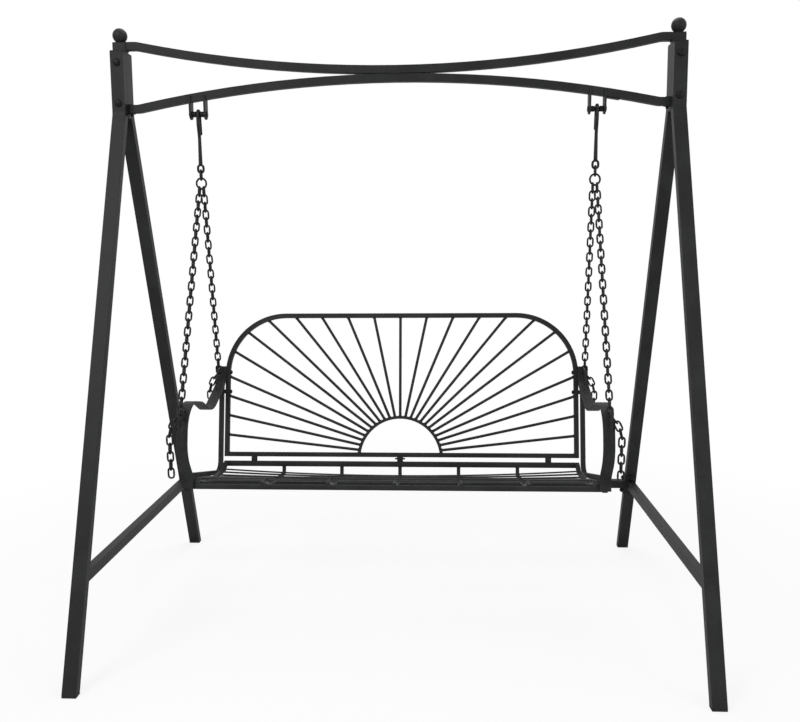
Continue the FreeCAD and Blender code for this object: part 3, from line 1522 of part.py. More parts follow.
# Fasteners of the bench
def make_bench_bolts():
    gap = inner_side - rail_half
    reach = s.side_bar + gap + s.rail_size + s.washer_thick + s.small_head_height
    bolt = dome_bolt(
        "side_bolt_pattern", s.small_bolt_radius, reach, s.small_head_radius, s.small_head_height
    )
    spacer = new_body("side_spacer_pattern")
    ring = new_sketch(spacer, "side_spacer_outline", "XY_Plane")
    draw_rod(ring, s.small_head_radius)
    draw_bore(ring, s.small_bolt_radius + s.bolt_play)
    pad(spacer, ring, gap - s.weld_play, midplane=True)
    nut = new_body("side_nut_pattern")
    hexagon = new_sketch(nut, "side_nut_outline", "XY_Plane")
    corner = s.small_head_radius
    draw_polygon(hexagon, [
        (corner * cosine(size_of(60 * k)), corner * sine(size_of(60 * k))) for k in range(6)
    ])
    draw_bore(hexagon, s.small_bolt_radius + s.bolt_play / 2)
    pad(nut, hexagon, s.small_head_height)
    bolts = []
    spacers = []
    nuts = []
    outer = side_place.number + s.side_bar.number / 2
    middle = (inner_side.number + rail_half.number) / 2
    inner = rail_half.number - s.rail_size.number - s.side_nut_gap.number
    for side, sign in sides:
        for height in (s.back_bolt_upper.number, s.back_bolt_lower.number):
            turn = Rotation(y_axis, 90 * sign)
            bolts.append(bench_frame.multiply(Placement(Vector(outer * sign, 0, height), turn)))
            spacers.append(bench_frame.multiply(Placement(Vector(middle * sign, 0, height), turn)))
            back = Rotation(y_axis, -90 * sign)
            nuts.append(bench_frame.multiply(Placement(Vector(inner * sign, 0, height), back)))
    node("side_bolts", copies("side_bolts_set", bolt, bolts))
    node("side_spacers", copies("side_spacers_set", spacer, spacers))
    node("side_nuts", copies("side_nuts_set", nut, nuts))
    rail_gap = s.back_rise - s.rail_size
    post = new_body("back_spacer_pattern")
    tube = new_sketch(post, "back_spacer_outline", "XY_Plane")
    draw_rod(tube, s.spacer_radius)
    draw_bore(tube, s.small_bolt_radius + s.bolt_play)
    pad(post, tube, rail_gap - s.weld_play, midplane=True)
    long_bolt = dome_bolt(
        "back_bolt_pattern", s.small_bolt_radius, rail_gap + s.rail_size / 2,
        s.rail_size / 2 - s.rail_wall - s.weld_play, s.small_head_height,
    )
    posts = []
    long_bolts = []
    for k in (-1, 0, 1):
        place = spacer_place.number * k
        middle = s.back_rise.number / 2
        posts.append(bench_frame.multiply(Placement(Vector(place, 0, middle), Rotation())))
        low = Vector(place, 0, s.rail_size.number / 2 - s.rail_wall.number - s.weld_play.number / 2)
        long_bolts.append(bench_frame.multiply(Placement(low, Rotation(x_axis, 180))))
    node("back_spacers", copies("back_spacers_set", post, posts))
    node("back_bolts", copies("back_bolts_set", long_bolt, long_bolts))


for side, sign in sides:
    make_post(side, sign)
    make_leg(side, sign, "front", -1)
    make_leg(side, sign, "rear", 1)
    make_side_brace(side, sign)
    make_side_frame(side, sign)
    make_arm(side, sign)
make_caps()
make_finials()
make_foot_plugs()
make_beams()
make_rear_stretcher()
make_stand_bolts()
make_hangers()
make_hanger_pins()
make_hooks()
make_top_links()
make_chains()
make_seat_rails()
make_ribs()
make_slats()
make_back_frame()
make_sun()
make_pegs()
make_bench_bolts()
doc.recompute()

failed = [item.Name for item in doc.Objects if "Invalid" in item.State or "Error" in item.State]
if failed:
    raise RuntimeError(f"These objects failed: {failed}")
for name, item in nodes.items():
    if item.Shape.isNull() or not item.Shape.isValid():
        raise RuntimeError(f"{name} has no valid shape")
for name, item in nodes.items():
    item.Shape.exportStep(f"parts/{name}.step")
print(len(nodes), "nodes written")
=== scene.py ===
import json
import math
import random

import bmesh
import bpy
import numpy as np
from mathutils import Matrix, Vector

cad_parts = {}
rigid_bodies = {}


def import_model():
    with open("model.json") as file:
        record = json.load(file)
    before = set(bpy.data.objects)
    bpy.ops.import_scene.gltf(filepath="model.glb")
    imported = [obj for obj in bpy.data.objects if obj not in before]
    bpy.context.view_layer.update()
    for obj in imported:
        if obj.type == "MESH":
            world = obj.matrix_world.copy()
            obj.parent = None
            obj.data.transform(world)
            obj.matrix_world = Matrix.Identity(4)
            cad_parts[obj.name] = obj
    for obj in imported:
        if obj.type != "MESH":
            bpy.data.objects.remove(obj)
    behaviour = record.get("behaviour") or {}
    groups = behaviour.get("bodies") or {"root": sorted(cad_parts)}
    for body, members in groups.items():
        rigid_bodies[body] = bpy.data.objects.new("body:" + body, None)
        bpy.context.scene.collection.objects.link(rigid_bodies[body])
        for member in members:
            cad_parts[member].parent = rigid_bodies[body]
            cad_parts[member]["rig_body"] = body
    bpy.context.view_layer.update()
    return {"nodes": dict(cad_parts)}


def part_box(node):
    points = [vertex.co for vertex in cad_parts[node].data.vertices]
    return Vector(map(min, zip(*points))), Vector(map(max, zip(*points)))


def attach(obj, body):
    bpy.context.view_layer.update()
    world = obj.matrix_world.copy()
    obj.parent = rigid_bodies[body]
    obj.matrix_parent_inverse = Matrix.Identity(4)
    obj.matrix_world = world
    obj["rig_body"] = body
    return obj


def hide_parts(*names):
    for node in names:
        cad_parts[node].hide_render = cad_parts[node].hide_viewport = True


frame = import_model()
nodes = frame["nodes"]
print("frame loaded:", len(nodes), "nodes")

# where the photograph was taken from, in metres, pixels and degrees
photo = {
    "eye": (0.13516, -2.58644, 1.20379),
    "yaw": 2.8,
    "pitch": 8.38,
    "roll": -0.4,
    "focal": 827.42,
    "wide": 800,
    "film": 36,
}


def placeCamera():
    facing = (
        Matrix.Rotation(math.radians(photo["roll"]), 3, "Z")
        @ Matrix.Rotation(math.radians(photo["pitch"]), 3, "X")
        @ Matrix.Rotation(math.radians(photo["yaw"]), 3, "Y")
        @ Matrix(((1, 0, 0), (0, 0, -1), (0, 1, 0)))
    )
    right, down, ahead = facing
    lens = bpy.data.cameras.new("photoCamera")
    lens.sensor_width = photo["film"]
    lens.sensor_fit = "HORIZONTAL"
    lens.lens = photo["film"] * photo["focal"] / photo["wide"]
    camera = bpy.data.objects.new("photoCamera", lens)
    bpy.context.scene.collection.objects.link(camera)
    turn = Matrix((right, -down, -ahead)).transposed().to_4x4()
    camera.matrix_world = Matrix.Translation(photo["eye"]) @ turn
    bpy.context.scene.camera = camera


placeCamera()
bpy.context.scene.view_settings.view_transform = "Standard"
print("camera placed")


class Wire:
    # one output socket, so that shader maths reads as Python
    def __init__(self, paint, out):
        self.paint = paint
        self.out = out

    def calc(self, operation, first, second):
        return self.paint.node("ShaderNodeMath", {"operation": operation}, {0: first, 1: second})

    def __add__(self, other):
        return self.calc("ADD", self, other)

    def __radd__(self, other):
        return self.calc("ADD", other, self)

    def __sub__(self, other):
        return self.calc("SUBTRACT", self, other)

    def __rsub__(self, other):
        return self.calc("SUBTRACT", other, self)

    def __mul__(self, other):
        return self.calc("MULTIPLY", self, other)


class Paint:
    # one material; node() takes a type, its settings and its sockets' values or links
    def __init__(self, name, tree=None):
        self.material = None
        self.tree = tree
        if tree is None:
            self.material = bpy.data.materials.new(name)
            self.material.use_nodes = True
            self.tree = self.material.node_tree
        self.tree.nodes.clear()

    def node(self, kind, settings=None, sockets=None, out=0):
        made = self.tree.nodes.new(kind)
        for key, value in (settings or {}).items():
            setattr(made, key, value)
        for key, value in (sockets or {}).items():
            ready = [socket for socket in made.inputs if socket.enabled]
            socket = ready[key] if isinstance(key, int) else next(s for s in ready if s.name == key)
            if isinstance(value, Wire):
                self.tree.links.new(value.out, socket)
            else:
                socket.default_value = value
        outs = [socket for socket in made.outputs if socket.enabled]
        if isinstance(out, int):
            return Wire(self, outs[out]) if outs else None
        return Wire(self, made.outputs[out])

    def place(self, stretch=(1, 1, 1)):
        spot = self.node("ShaderNodeTexCoord", out="Object")
        return self.node("ShaderNodeMapping", None, {"Vector": spot, "Scale": stretch})

    def noise(self, grain, detail=2, stretch=(1, 1, 1)):
        # grain is the size of one blotch, in metres
        sockets = {"Vector": self.place(stretch), "Scale": 1 / grain, "Detail": detail}
        return self.node("ShaderNodeTexNoise", None, sockets)

    def step(self, value, low, high):
        sockets = {"Value": value, "From Min": low, "From Max": high}
        return self.node("ShaderNodeMapRange", {"interpolation_type": "SMOOTHSTEP"}, sockets)

    def mix(self, share, first, second):
        sockets = {"Factor": share, "A": first, "B": second}
        return self.node("ShaderNodeMix", {"data_type": "RGBA"}, sockets)

    def edges(self, radius):
        # one along corners, from how far a rounded normal turns away from the flat one
        rounded = self.node("ShaderNodeBevel", {"samples": 6}, {"Radius": radius})
        flat = self.node("ShaderNodeNewGeometry", out="Normal")
        both = {0: rounded, 1: flat}
        same = self.node("ShaderNodeVectorMath", {"operation": "DOT_PRODUCT"}, both, out="Value")
        return self.step(1 - same, 0.01, 0.22)

    def bump(self, height, depth, before=None):
        sockets = {"Height": height, "Distance": depth, "Strength": 1.0}
        if before is not None:
            sockets["Normal"] = before
        return self.node("ShaderNodeBump", None, sockets)

    def surface(self, sockets):
        shader = self.node("ShaderNodeBsdfPrincipled", None, sockets)
        self.node("ShaderNodeOutputMaterial", None, {"Surface": shader})
        return self.material


def grey(level, warmth=0.0):
    return (level * (1 + warmth), level, level * (1 - warmth), 1)


# baked charcoal powder coat on all the tubes and bars
coat = {
    "deep": grey(0.0098, -0.035),
    "pale": grey(0.018, -0.035),
    "edge": grey(0.045, -0.01),
    "dust": grey(0.11, 0.05),
    "grain": 0.0008,
    "peel": 0.0042,
    "cloud": 0.11,
    "grainDepth": 0.00012,
    "peelDepth": 0.00022,
    "rounding": 0.0016,
    "roughness": 0.5,
    "specular": 0.17,
}


def powderCoat(name, lift=1.0, streaks=0.2):
    paint = Paint(name)
    cloud = paint.noise(coat["cloud"], 4)
    peel = paint.noise(coat["peel"], 3)
    grain = paint.noise(coat["grain"], 2)
    fleck = paint.step(paint.noise(coat["grain"] * 2.4, 1), 0.62, 0.74)
    runs = paint.step(paint.noise(0.02, 3, (1, 1, 0.06)), 0.5, 0.78)
    scuff = paint.step(paint.noise(0.012, 4), 0.42, 0.62)
    edge = paint.edges(coat["rounding"]) * scuff
    deep = tuple(value * lift for value in coat["deep"][:3]) + (1,)
    pale = tuple(value * lift for value in coat["pale"][:3]) + (1,)
    colour = paint.mix(paint.step(cloud, 0.3, 0.72), deep, pale)
    colour = paint.mix(fleck * 0.16 + runs * streaks * 0.12, colour, coat["dust"])
    colour = paint.mix(edge * 0.55, colour, coat["edge"])
    rough = coat["roughness"] + (cloud - 0.5) * 0.16 + (grain - 0.5) * 0.2 - edge * 0.1
    normal = paint.bump(grain, coat["grainDepth"])
    normal = paint.bump(peel, coat["peelDepth"], normal)
    return paint.surface({
        "Base Color": colour, "Roughness": rough, "Normal": normal,
        "Specular IOR Level": coat["specular"],
    })


# blackened steel of chains and hooks, rubbed bright where links bear on each other
steel = {
    "deep": grey(0.0055),
    "pale": grey(0.013),
    "rubbed": grey(0.13, 0.01),
    "rust": (0.045, 0.026, 0.016, 1),
    "pitDepth": 0.0002,
    "roughness": 0.44,
    "specular": 0.2,
}


def chainSteel(name):
    paint = Paint(name)
    blotch = paint.noise(0.009, 4)
    pit = paint.noise(0.0011, 3)
    colour = paint.mix(paint.step(blotch, 0.32, 0.7), steel["deep"], steel["pale"])
    rough = steel["roughness"] + (blotch - 0.5) * 0.2 + (pit - 0.5) * 0.25
    rub = paint.node("ShaderNodeAttribute", {"attribute_name": "rub"}, out="Fac")
    worn = rub * paint.step(paint.noise(0.0016, 3), 0.36, 0.56)
    colour = paint.mix(worn * 0.5, colour, steel["rubbed"])
    halo = paint.step(rub, 0.05, 0.5) * paint.step(blotch, 0.5, 0.64)
    colour = paint.mix(halo * 0.18, colour, steel["rust"])
    return paint.surface({
        "Base Color": colour, "Roughness": rough - worn * 0.14, "Metallic": worn * 0.55,
        "Normal": paint.bump(pit, steel["pitDepth"]), "Specular IOR Level": steel["specular"],
    })


# satin black bolts, nuts and pins
fastener = {
    "deep": grey(0.004),
    "pale": grey(0.009),
    "edge": grey(0.04),
    "rounding": 0.0009,
    "pitDepth": 0.0001,
    "roughness": 0.4,
    "specular": 0.14,
}


def boltBlack(name):
    paint = Paint(name)
    blotch = paint.noise(0.006, 3)
    pit = paint.noise(0.0009, 2)
    edge = paint.edges(fastener["rounding"]) * paint.step(blotch, 0.4, 0.6)
    colour = paint.mix(paint.step(blotch, 0.3, 0.7), fastener["deep"], fastener["pale"])
    colour = paint.mix(edge * 0.5, colour, fastener["edge"])
    rough = fastener["roughness"] + (blotch - 0.5) * 0.2 + (pit - 0.5) * 0.12
    return paint.surface({
        "Base Color": colour, "Roughness": rough, "Normal": paint.bump(pit, fastener["pitDepth"]),
        "Specular IOR Level": fastener["specular"],
    })


# matt plastic plugs with floor dust on them
plastic = {
    "deep": grey(0.011),
    "pale": grey(0.02),
    "soil": grey(0.12, 0.14),
    "pebbles": 900,
    "pebbleDepth": 0.00016,
    "roughness": 0.62,
    "specular": 0.2,
}


def footPlastic(name):
    paint = Paint(name)
    pebble = paint.node("ShaderNodeTexVoronoi", None, {"Vector": paint.place(), "Scale": plastic["pebbles"]})
    cloud = paint.noise(0.03, 4)
    soil = paint.step(paint.noise(0.008, 4, (1, 1, 2)), 0.48, 0.75)
    colour = paint.mix(paint.step(cloud, 0.3, 0.7), plastic["deep"], plastic["pale"])
    colour = paint.mix(soil * 0.14, colour, plastic["soil"])
    rough = plastic["roughness"] + (cloud - 0.5) * 0.14
    return paint.surface({
        "Base Color": colour, "Roughness": rough, "Normal": paint.bump(pebble, plastic["pebbleDepth"]),
        "Specular IOR Level": plastic["specular"],
    })


paints = {
    "stand": powderCoat("standCoat"),
    "bench": powderCoat("benchCoat", 1.05, 0.1),
    "slat": powderCoat("slatCoat", 1.1, 0.0),
    "weld": powderCoat("weldCoat", 0.95, 0.0),
    "spatter": powderCoat("spatterCoat", 3.2, 0.0),
    "chain": chainSteel("chainSteel"),
    "hook": chainSteel("hookSteel"),
    "bolt": boltBlack("boltBlack"),
    "foot": footPlastic("footPlastic"),
}
print("materials made:", len(paints))


def makePiece(name, forms, paint, body, stands=()):
    # forms are (vertices, faces) pairs that become one mesh
    points = []
    faces = []
    for formPoints, formFaces in forms:
        start = len(points)
        points += [tuple(point) for point in formPoints]
        faces += [tuple(start + index for index in face) for face in formFaces]
    mesh = bpy.data.meshes.new(name)
    mesh.from_pydata(points, [], faces)
    mesh.polygons.foreach_set("use_smooth", [True] * len(mesh.polygons))
    mesh.set_sharp_from_angle(angle=math.radians(42))
    mesh.materials.append(paints[paint])
    made = bpy.data.objects.new(name, mesh)
    bpy.context.scene.collection.objects.link(made)
    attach(made, body)
    if stands:
        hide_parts(*stands)
    return made


def tubeFaces(count, sides, loop=False):
    # faces from each ring of points to the next, and a cap at each open end
    faces = []
    for index in range(count if loop else count - 1):
        near = index * sides
        far = (index + 1) % count * sides
        faces += [(near + k, near + (k + 1) % sides, far + (k + 1) % sides, far + k) for k in range(sides)]
    if not loop:
        faces.append(tuple(reversed(range(sides))))
        faces.append(tuple((count - 1) * sides + k for k in range(sides)))
    return faces


def sweepRound(route, radii, sides, loop=False):
    # a round bar along a route of points, with one radius at each point
    count = len(route)
    tangents = []
    for index in range(count):
        before = route[index - 1] if index or loop else route[0]
        after = route[(index + 1) % count] if index < count - 1 or loop else route[-1]
        tangents.append((after - before).normalized())
    side = tangents[0].orthogonal().normalized()
    points = []
    for index, (spot, tangent, radius) in enumerate(zip(route, tangents, radii)):
        side = (side - tangent * side.dot(tangent)).normalized()
        other = tangent.cross(side)
        for k in range(sides):
            turn = 2 * math.pi * k / sides
            points.append(spot + (side * math.cos(turn) + other * math.sin(turn)) * radius)
    return points, tubeFaces(count, sides, loop)


def roundTips(route, radius, start=True, end=True, steps=5):
    # the route with half-round ends, and the radius at each of its points
    spots = list(route)
    radii = [radius] * len(spots)
    head = (route[0] - route[1]).normalized()
    tail = (route[-1] - route[-2]).normalized()
    for step in range(1, steps + 1):
        turn = math.pi / 2 * step / steps * 0.97
        if start:
            spots.insert(0, route[0] + head * radius * math.sin(turn))
            radii.insert(0, radius * math.cos(turn))
        if end:
            spots.append(route[-1] + tail * radius * math.sin(turn))
            radii.append(radius * math.cos(turn))
    return spots, radii


def bentRoute(corners, radii, steps=10):
    # straight runs joined by arcs, as on a bender
    route = [corners[0]]
    for before, corner, after, radius in zip(corners, corners[1:], corners[2:], radii):
        back = (before - corner).normalized()
        ahead = (after - corner).normalized()
        half = back.angle(ahead) / 2
        reach = radius / math.tan(half)
        middle = corner + (back + ahead).normalized() * (radius / math.sin(half))
        first = corner + back * reach - middle
        last = corner + ahead * reach - middle
        whole = first.angle(last)
        for step in range(steps + 1):
            share = step / steps
            arm = (first * math.sin((1 - share) * whole) + last * math.sin(share * whole)) / math.sin(whole)
            route.append(middle + arm)
    route.append(corners[-1])
    return route


def sweepBar(route, across, wide, thick, corner=0.0012):
    # a square or flat bar along a route that lies in one plane; across is square to that plane
    outline = []
    for turn, u, v in ((0, 1, 1), (90, -1, 1), (180, -1, -1), (270, 1, -1)):
        for step in range(4):
            angle = math.radians(turn + 30 * step)
            outline.append((u * (wide / 2 - corner) + corner * math.cos(angle),
                            v * (thick / 2 - corner) + corner * math.sin(angle)))
    points = []
    for index, spot in enumerate(route):
        before = (spot - route[index - 1]).normalized() if index else None
        after = (route[index + 1] - spot).normalized() if index < len(route) - 1 else None
        tangent = ((before or after) + (after or before)).normalized()
        stretch = 1 / max(0.5, tangent.dot(after or before))
        normal = tangent.cross(across)
        points += [spot + across * u + normal * (v * stretch) for u, v in outline]
    return points, tubeFaces(len(route), len(outline))


def lathe(profile, spot, axis, sides=32):
    # (radius, height) stations turned about an axis through a spot
    axis = axis.normalized()
    side = axis.orthogonal().normalized()
    other = axis.cross(side)
    points = []
    for radius, height in profile:
        for k in range(sides):
            turn = 2 * math.pi * k / sides
            points.append(spot + axis * height + (side * math.cos(turn) + other * math.sin(turn)) * radius)
    return points, tubeFaces(len(profile), sides)


def solidsOf(name):
    # each solid of a CAD node: its middle, its axes from the longest down, its size along them, its points
    form = bmesh.new()
    form.from_mesh(nodes[name].data)
    bmesh.ops.remove_doubles(form, verts=form.verts, dist=1e-6)
    seen = set()
    found = []
    for start in form.verts:
        if start.index in seen:
            continue
        seen.add(start.index)
        group = [start]
        for vert in group:
            for edge in vert.link_edges:
                other = edge.other_vert(vert)
                if other.index not in seen:
                    seen.add(other.index)
                    group.append(other)
        cloud = np.array([vert.co[:] for vert in group])
        centred = cloud - cloud.mean(axis=0)
        values, vectors = np.linalg.eigh(centred.T @ centred)
        axes = vectors[:, np.argsort(values)[::-1]].T
        reach = cloud @ axes.T
        low, high = reach.min(axis=0), reach.max(axis=0)
        middle = Vector(((low + high) / 2) @ axes)
        found.append((middle, [Vector(axis) for axis in axes], high - low, cloud))
    form.free()
    return found


# welded links: bar sides per ring, rings round the link, and the bead of the butt weld
link = {"sides": 12, "bow": 9, "side": 3, "bead": 0.16, "beadLength": 0.0022}


def linkForm(middle, axes, size, beadSide):
    # an oval ring of round bar, and how rubbed each of its points is
    up, across = axes[:2]
    bar = size[2] / 2
    halfLong = size[0] / 2 - bar
    halfWide = size[1] / 2 - bar
    shoulder = halfLong - halfWide
    flat = []
    for end in (1, -1):
        for step in range(link["bow"] + 1):
            turn = math.pi * step / link["bow"]
            flat.append((halfWide * math.cos(turn) * end, (shoulder + halfWide * math.sin(turn)) * end))
        for step in range(1, link["side"] + 1):
            share = step / (link["side"] + 1)
            flat.append((-halfWide * end, shoulder * (1 - 2 * share) * end))
    route = [middle + across * x + up * z for x, z in flat]
    radii = []
    for x, z in flat:
        swell = math.exp(-((z / link["beadLength"]) ** 2)) if x * beadSide > 0 else 0
        radii.append(bar * (1 + link["bead"] * swell))
    points, faces = sweepRound(route, radii, link["sides"], loop=True)
    rubs = []
    for index, point in enumerate(points):
        x, z = flat[index // link["sides"]]
        outward = (point - route[index // link["sides"]]).normalized()
        inward = max(0, -outward.dot(up) * (1 if z > 0 else -1))
        rubs.append(inward ** 2 * max(0, min(1, (abs(z) - shoulder) / halfWide * 1.6 - 0.6)))
    return points, faces, rubs


def setRub(made, rubs):
    layer = made.data.attributes.new("rub", "FLOAT", "POINT")
    layer.data.foreach_set("value", rubs)


def makeChain(name):
    random.seed(name)
    forms = []
    rubs = []
    for middle, axes, size, _ in solidsOf(name):
        points, faces, rubbed = linkForm(middle, axes, size, random.choice((-1, 1)))
        forms.append((points, faces))
        rubs += rubbed
    body = nodes[name]["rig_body"]
    setRub(makePiece(f"{name}_smooth", forms, "chain", body, [name]), rubs)


for side in ("left", "right"):
    for end in ("front", "rear"):
        makeChain(f"{side}_{end}_chain")
        makeChain(f"{side}_{end}_tail")
makeChain("swivel_links")
makeChain("fork_links")
print("chains made")

# S-hooks on the pins, in the plane across the beam, in metres
hook = {
    "place": 0.604,
    "pin": 1.586,
    "loop": 0.0103,
    "bend": 0.03,
    "bar": 0.005,
    "flare": 0.22,
    "flareLong": 0.022,
    "rubReach": 0.0075,
    "rubFade": 0.0015,
    "tail": 1.530,
    "tailOut": 0.0153,
    "neck": 1.558,
    "straight": 1.516,
    "foot": 1.437,
    "eyeHeight": 1.423,
    "eyeLong": 0.0305,
    "eyeWide": 0.0245,
    "eyeBar": 0.0074,
}


def makeHook(side, sign):
    x = hook["place"] * sign
    loop = hook["loop"]
    corners = [
        Vector((x, hook["tailOut"], hook["tail"])), Vector((x, loop, hook["pin"] - loop)),
        Vector((x, loop, hook["pin"] + loop)), Vector((x, -loop, hook["pin"] + loop)),
        Vector((x, -loop, hook["neck"])), Vector((x, 0, hook["straight"])), Vector((x, 0, hook["foot"])),
    ]
    over = loop - 0.0003
    bend = hook["bend"]
    route, radii = roundTips(bentRoute(corners, [bend, over, over, bend, bend]), hook["bar"], end=False)
    flare = [max(0, 1 - abs(spot.z - hook["foot"]) / hook["flareLong"]) for spot in route]
    radii = [radius * (1 + hook["flare"] * share * share) for radius, share in zip(radii, flare)]
    rod = sweepRound(route, radii, 18)
    size = (hook["eyeLong"], hook["eyeWide"], hook["eyeBar"])
    axes = [Vector((0, 0, 1)), Vector((1, 0, 0)), Vector((0, 1, 0))]
    points, faces, rubs = linkForm(Vector((x, 0, hook["eyeHeight"])), axes, size, 0)
    rodRubs = []
    for point in rod[0]:
        gap = math.hypot(point.y, point.z - hook["pin"])
        worn = max(0, min(1, (hook["rubReach"] - gap) / hook["rubFade"]))
        rodRubs.append(worn if point.z > hook["pin"] else 0)
    forms = [rod, (points, faces)]
    made = makePiece(f"{side}_hook_smooth", forms, "hook", "hooks", [f"{side}_hook"])
    setRub(made, rodRubs + rubs)


for side, sign in (("left", -1), ("right", 1)):
    makeHook(side, sign)
print("hooks made")

# how the bench sits: it leans back about the rear rail
bench = {"rear": 0.1318, "height": 0.451, "tilt": -12, "side": 0.614, "half": 0.6, "rail": 0.015}
benchTurn = Matrix.Rotation(math.radians(bench["tilt"]), 3, "X")


def onBench(x, y, z):
    return Vector((0, bench["rear"], bench["height"])) + benchTurn @ Vector((x, y, z))


# the seat: rear tube, front tube, ribs between them, slats on the ribs, in metres on the bench
seat = {
    "rearBar": 0.018,
    "rearDrop": 0.0015,
    "rearCorner": 0.0016,
    "frontBar": 0.015,
    "frontCorner": 0.0014,
    "frontPlace": -0.357,
    "frontHeight": -0.049,
    "frontHalf": 0.6063,
    "ribWide": 0.012,
    "endRibWide": 0.015,
    "ribThick": 0.008,
    "endRibStart": [(-0.0085, -0.0005), (-0.018, -0.0005)],
    "endRibDip": -0.044,
    "ribDip": -0.002,
    "ribNose": -0.347,
    "ribBend": 0.012,
    "endRibBend": 0.020,
    "hollowBend": 0.12,
    "noseBend": 0.006,
    "slatCount": 7,
    "slatFirst": -0.030,
    "slatPitch": -0.047,
    "slatWide": 0.014,
    "slatThick": 0.004,
    "slatCorner": 0.0008,
    "slatHalf": 0.5848,
    "slatSteps": 32,
    "slopeAt": 0.4,
    "hollow": [
        (0.030, -0.022, -0.040), (0.171, -0.040, -0.0445), (0.245, -0.0405, -0.044), (0.330, -0.028, -0.028),
    ],
}
acrossSeat = Vector((1, 0, 0))
backSeat = onBench(0, 1, 0) - onBench(0, 0, 0)


def seatLevel(x, y):
    # underside of the slats: hollow gives run, height at the seat's ends and height in its middle
    runs, ends, middles = zip(*seat["hollow"])
    end = float(np.interp(-y, runs, ends))
    middle = float(np.interp(-y, runs, middles))
    return middle + (end - middle) * (x / seat["slatHalf"]) ** 2


def makeRail(name, half, place, height, bar, corner, stands):
    route = [onBench(x, place, height) for x in (-half, half)]
    form = sweepBar(route, backSeat, bar, bar, corner)
    makePiece(name, [form], "bench", "bench", stands)


def ribRoutes():
    # each rib's place along the seat, its width, and its line from the rear rail to the front one
    landing = seat["frontHeight"] + (seat["frontBar"] + seat["ribThick"]) / 2
    front = seat["frontPlace"] - seat["frontBar"] / 2 + 0.001
    half = seat["ribThick"] / 2
    found = []
    for middle, *_ in solidsOf("seat_ribs"):
        x = middle.x
        isEnd = abs(x) > 0.5
        lift = seat["slatThick"] - half if isEnd else -half
        hollow = [(-run, seatLevel(x, -run) + lift) for run, *_ in seat["hollow"][1:]]
        if isEnd:
            start = seat["endRibStart"] + [(seat["endRibDip"], seatLevel(x, seat["endRibDip"]) + lift)]
            bends = [seat["ribBend"], seat["endRibBend"]]
        else:
            under = -seat["rearDrop"] - seat["rearBar"] / 2 + 0.0005
            start = [(0, under), (0, seatLevel(x, seat["ribDip"]) + lift)]
            bends = [seat["ribBend"]]
        line = start + hollow + [(seat["ribNose"], landing), (front, landing)]
        bends += [seat["hollowBend"]] * 2 + [seat["noseBend"]] * 2
        found.append((x, seat["endRibWide"] if isEnd else seat["ribWide"], line, bends))
    return found


def makeRibs():
    forms = []
    for x, wide, line, radii in ribRoutes():
        route = bentRoute([onBench(x, y, z) for y, z in line], radii, 8)
        forms.append(sweepBar(route, acrossSeat, wide, seat["ribThick"]))
    makePiece("seat_ribs_bent", forms, "bench", "bench", ["seat_ribs"])


def slatPlace(index):
    return seat["slatFirst"] + seat["slatPitch"] * index


def makeSlats():
    forms = []
    half = seat["slatHalf"]
    edge = seat["slatWide"] / 2
    for index in range(seat["slatCount"]):
        y = slatPlace(index)
        # each slat lies on the ribs' slope
        back, front = (onBench(0, run, seatLevel(seat["slopeAt"], run)) for run in (y + edge, y - edge))
        lean = (back - front).normalized()
        route = []
        for step in range(seat["slatSteps"] + 1):
            x = half * (step * 2 / seat["slatSteps"] - 1)
            route.append(onBench(x, y, seatLevel(x, y) + seat["slatThick"] / 2))
        forms.append(sweepBar(route, lean, seat["slatWide"], seat["slatThick"], seat["slatCorner"]))
    makePiece("seat_slats_hollow", forms, "slat", "bench", ["seat_slats"])


makeRail("seat_rear_rail_square", bench["half"], 0, -seat["rearDrop"],
         seat["rearBar"], seat["rearCorner"], ["seat_rear_rail"])
makeRail("seat_front_tube", seat["frontHalf"], seat["frontPlace"], seat["frontHeight"],
         seat["frontBar"], seat["frontCorner"], ["seat_front_rail", "seat_front_edge"])
makeRibs()
makeSlats()
print("seat made")

# armrests: one flat bar each, from the top of the upright over the crest and the nose to the seat's front
arms = {
    "wide": 0.034,
    "thick": 0.005,
    "corner": 0.0011,
    "line": [
        (-0.0101, 0.330), (-0.0101, 0.274), (-0.172, 0.173), (-0.285, 0.203), (-0.436, 0.203),
        (-0.436, 0.045), (-0.3721, -0.018), (-0.3721, -0.054),
    ],
    "bends": [0.062, 0.120, 0.150, 0.090, 0.095, 0.045],
    "bendSteps": 14,
}


def makeArm(side, sign):
    corners = [onBench(bench["side"] * sign, y, z) for y, z in arms["line"]]
    route = bentRoute(corners, arms["bends"], arms["bendSteps"])
    form = sweepBar(route, acrossSeat, arms["wide"], arms["thick"], arms["corner"])
    makePiece(f"{side}_armrest_smooth", [form], "bench", "bench", [f"{side}_armrest"])


makeArm("left", -1)
makeArm("right", 1)
print("armrests made")

# chain pegs on the arms: from inside the arm bar, out, and down
pegs = {
    "bar": 0.0035,
    "bend": 0.009,
    "front": ((-0.410, 0.176), (-0.4695, 0.176), (-0.4695, 0.088)),
    "rear": ((-0.0105, 0.3287), (-0.0635, 0.310), (-0.0635, 0.270)),
}


def makePegs(end):
    forms = []
    for sign in (-1, 1):
        corners = [onBench(bench["side"] * sign, y, z) for y, z in pegs[end]]
        route, radii = roundTips(bentRoute(corners, [pegs["bend"]]), pegs["bar"], start=False)
        forms.append(sweepRound(route, radii, 16))
    made = makePiece(f"{end}_pegs_smooth", forms, "hook", "bench", [f"{end}_chain_pegs"])
    setRub(made, [0.0] * len(made.data.vertices))


makePegs("front")
makePegs("rear")
print("pegs made")

# rays: round bar from the half ring to the bow, with a weld collar at each end
rays = {"bar": 0.0047, "intoBow": 0.006, "intoRing": 0.002, "collar": 0.0016}


